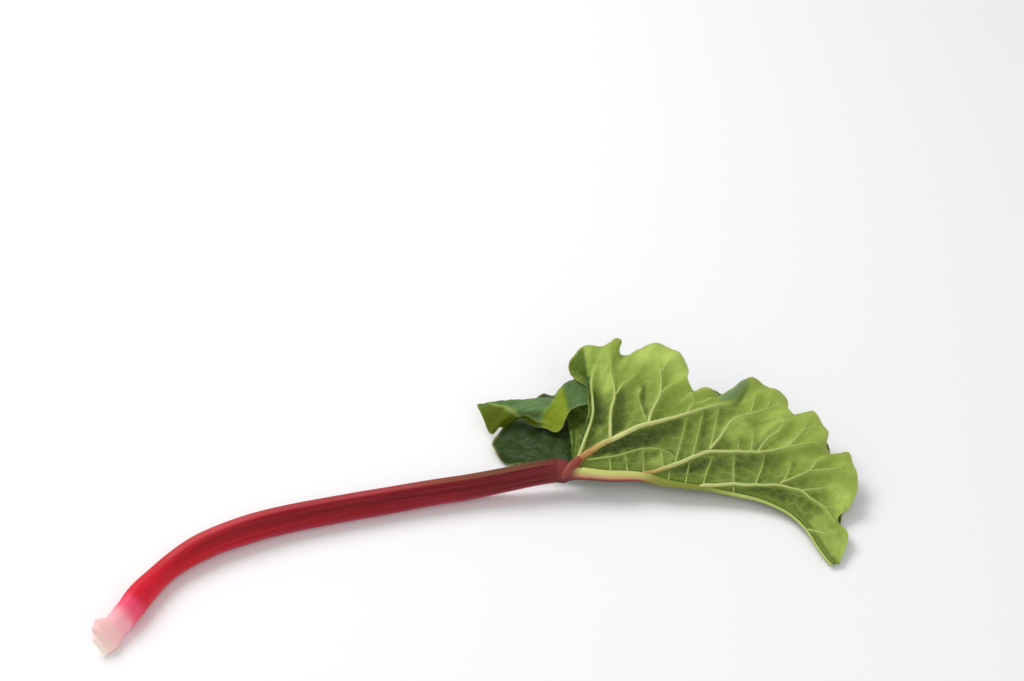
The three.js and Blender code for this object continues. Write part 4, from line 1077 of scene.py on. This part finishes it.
def leaf_material(mottle):
    material, n, shader, blotch = new_material("leaf_skin", mottle, 22.0, 700.0)
    patch, margin, upper = blotch["Patch"], n.attribute("margin"), n.attribute("upper")
    net, rib = n.attribute("net"), n.attribute("rib")
    given = {"Vector": n.node("ShaderNodeTexCoord").outputs["Object"], "Scale": SMALL_NET_SCALE}
    cells = n.node("ShaderNodeTexVoronoi", given, feature="DISTANCE_TO_EDGE")
    masks = {
        "veins": n.math("MAXIMUM", net, rib),
        "upper_veins": n.math("MAXIMUM", n.times(net, 0.4), n.times(rib, 0.6)),
        "small_net": n.span(cells.outputs["Distance"], 0.12, 0.02),
    }
    # the flap's upper side painted paler and bluer: a painted sky reflection on its gloss
    bloom = n.mix(n.span(patch, 0.35, 0.65), (90, 124, 62), (114, 150, 88))
    # paler and yellower towards the margin: partly the blade's own colour, partly painted light shining
    # through the outer blade
    under = n.mix(n.span(n.shifted(margin, patch, 0.4), 0.2, 0.8), (118, 142, 52), (176, 202, 86))
    over = n.mix(n.span(patch, 0.3, 0.7), (62, 92, 34), (84, 116, 46))
    sides = []
    for skin, tints in ((under, UNDER_TINTS), (over, OVER_TINTS)):
        for key, strength, colour in tints:
            mask = masks[key] if key in masks else n.attribute(key)
            skin = n.tint(skin, mask, strength, bloom if colour == "bloom" else colour)
        sides.append(skin)
    skin = n.tint(n.mix(upper, *sides), n.span(margin, 0.965, 1.0), 0.4, (196, 190, 120))
    height = n.math("ADD", masks["small_net"], n.times(blotch["Grain"], 0.5))
    n.give(shader, {
        "Base Color": skin, "Roughness": n.span(upper, 0.0, 1.0, 0.55, 0.45), "Specular IOR Level": 0.2,
        "Normal": n.bump(height, 0.4)})
    glow = n.node("ShaderNodeBsdfTranslucent", {"Color": n.mix(0.6, skin, (150, 190, 40))})
    both = n.node("ShaderNodeMixShader", {"Fac": GLOW_SHARE, 1: shader.outputs[0], 2: glow.outputs[0]})
    n.give(material.node_tree.nodes["Material Output"], {"Surface": both.outputs[0]})
    return material


# ---- table, light and camera ---------------------------------------------------------------------
TABLE_REACH = 6.0
TABLE_COLOUR = (0.93, 0.93, 0.935, 1)
ROOM_LIGHT = 0.5
LIGHTS = (("key_softbox", (-0.9, 0.9, 1.5), 1.3, 24), ("front_fill", (0.5, -1.4, 1.3), 1.6, 9))
VIEW_AIM = (0.0177, 0.1994, 0.0)
VIEW_HEIGHT = 40.0
VIEW_DISTANCE = 1.9826
LENS, SENSOR = 85.0, 36.0


def add(name, data, place=(0, 0, 0), facing=None):
    """Puts the data into the scene, and turns a lamp or camera to look that way."""
    thing = bpy.data.objects.new(name, data)
    thing.location = place
    if facing:
        thing.rotation_euler = facing.to_track_quat("-Z", "Y").to_euler()
    bpy.context.scene.collection.objects.link(thing)
    return thing


def studio():
    """A pale table, two soft lamps, a softly lit room and the camera."""
    mesh = bpy.data.meshes.new("table_top")
    corners = [(x * TABLE_REACH, y * TABLE_REACH, 0) for x, y in ((-1, -1), (1, -1), (1, 1), (-1, 1))]
    mesh.from_pydata(corners, [], [[0, 1, 2, 3]])
    material = bpy.data.materials.new("white_table")
    material.use_nodes = True
    given = {"Base Color": TABLE_COLOUR, "Roughness": 0.6}
    Nodes(material.node_tree).give(material.node_tree.nodes["Principled BSDF"], given)
    mesh.materials.append(material)
    add("table_top", mesh)
    world = bpy.data.worlds.new("soft_room")
    world.use_nodes = True
    given = {"Color": (1, 1, 1, 1), "Strength": ROOM_LIGHT}
    Nodes(world.node_tree).give(world.node_tree.nodes["Background"], given)
    bpy.context.scene.world = world
    for name, place, size, power in LIGHTS:
        light = bpy.data.lights.new(name, "AREA")
        light.shape = "DISK"
        light.size, light.energy = size, power
        add(name, light, place, -Vector(place))
    view = bpy.data.cameras.new("view")
    view.lens, view.sensor_width = LENS, SENSOR
    height = math.radians(VIEW_HEIGHT)
    back = Vector((0, -math.cos(height), math.sin(height)))
    bpy.context.scene.camera = add("view", view, Vector(VIEW_AIM) + back * VIEW_DISTANCE, -back)
    bpy.context.scene.view_settings.view_transform = "Standard"


studio()
stalk, stalk_end = build_stalk()
blade, sheets = build_blade()
ribs = build_ribs(sheets, stalk_end)
mottle = mottle_group()
stalk.data.materials.append(stalk_material(mottle))
blade.data.materials.append(leaf_material(mottle))
ribs.data.materials.append(rib_material(mottle))
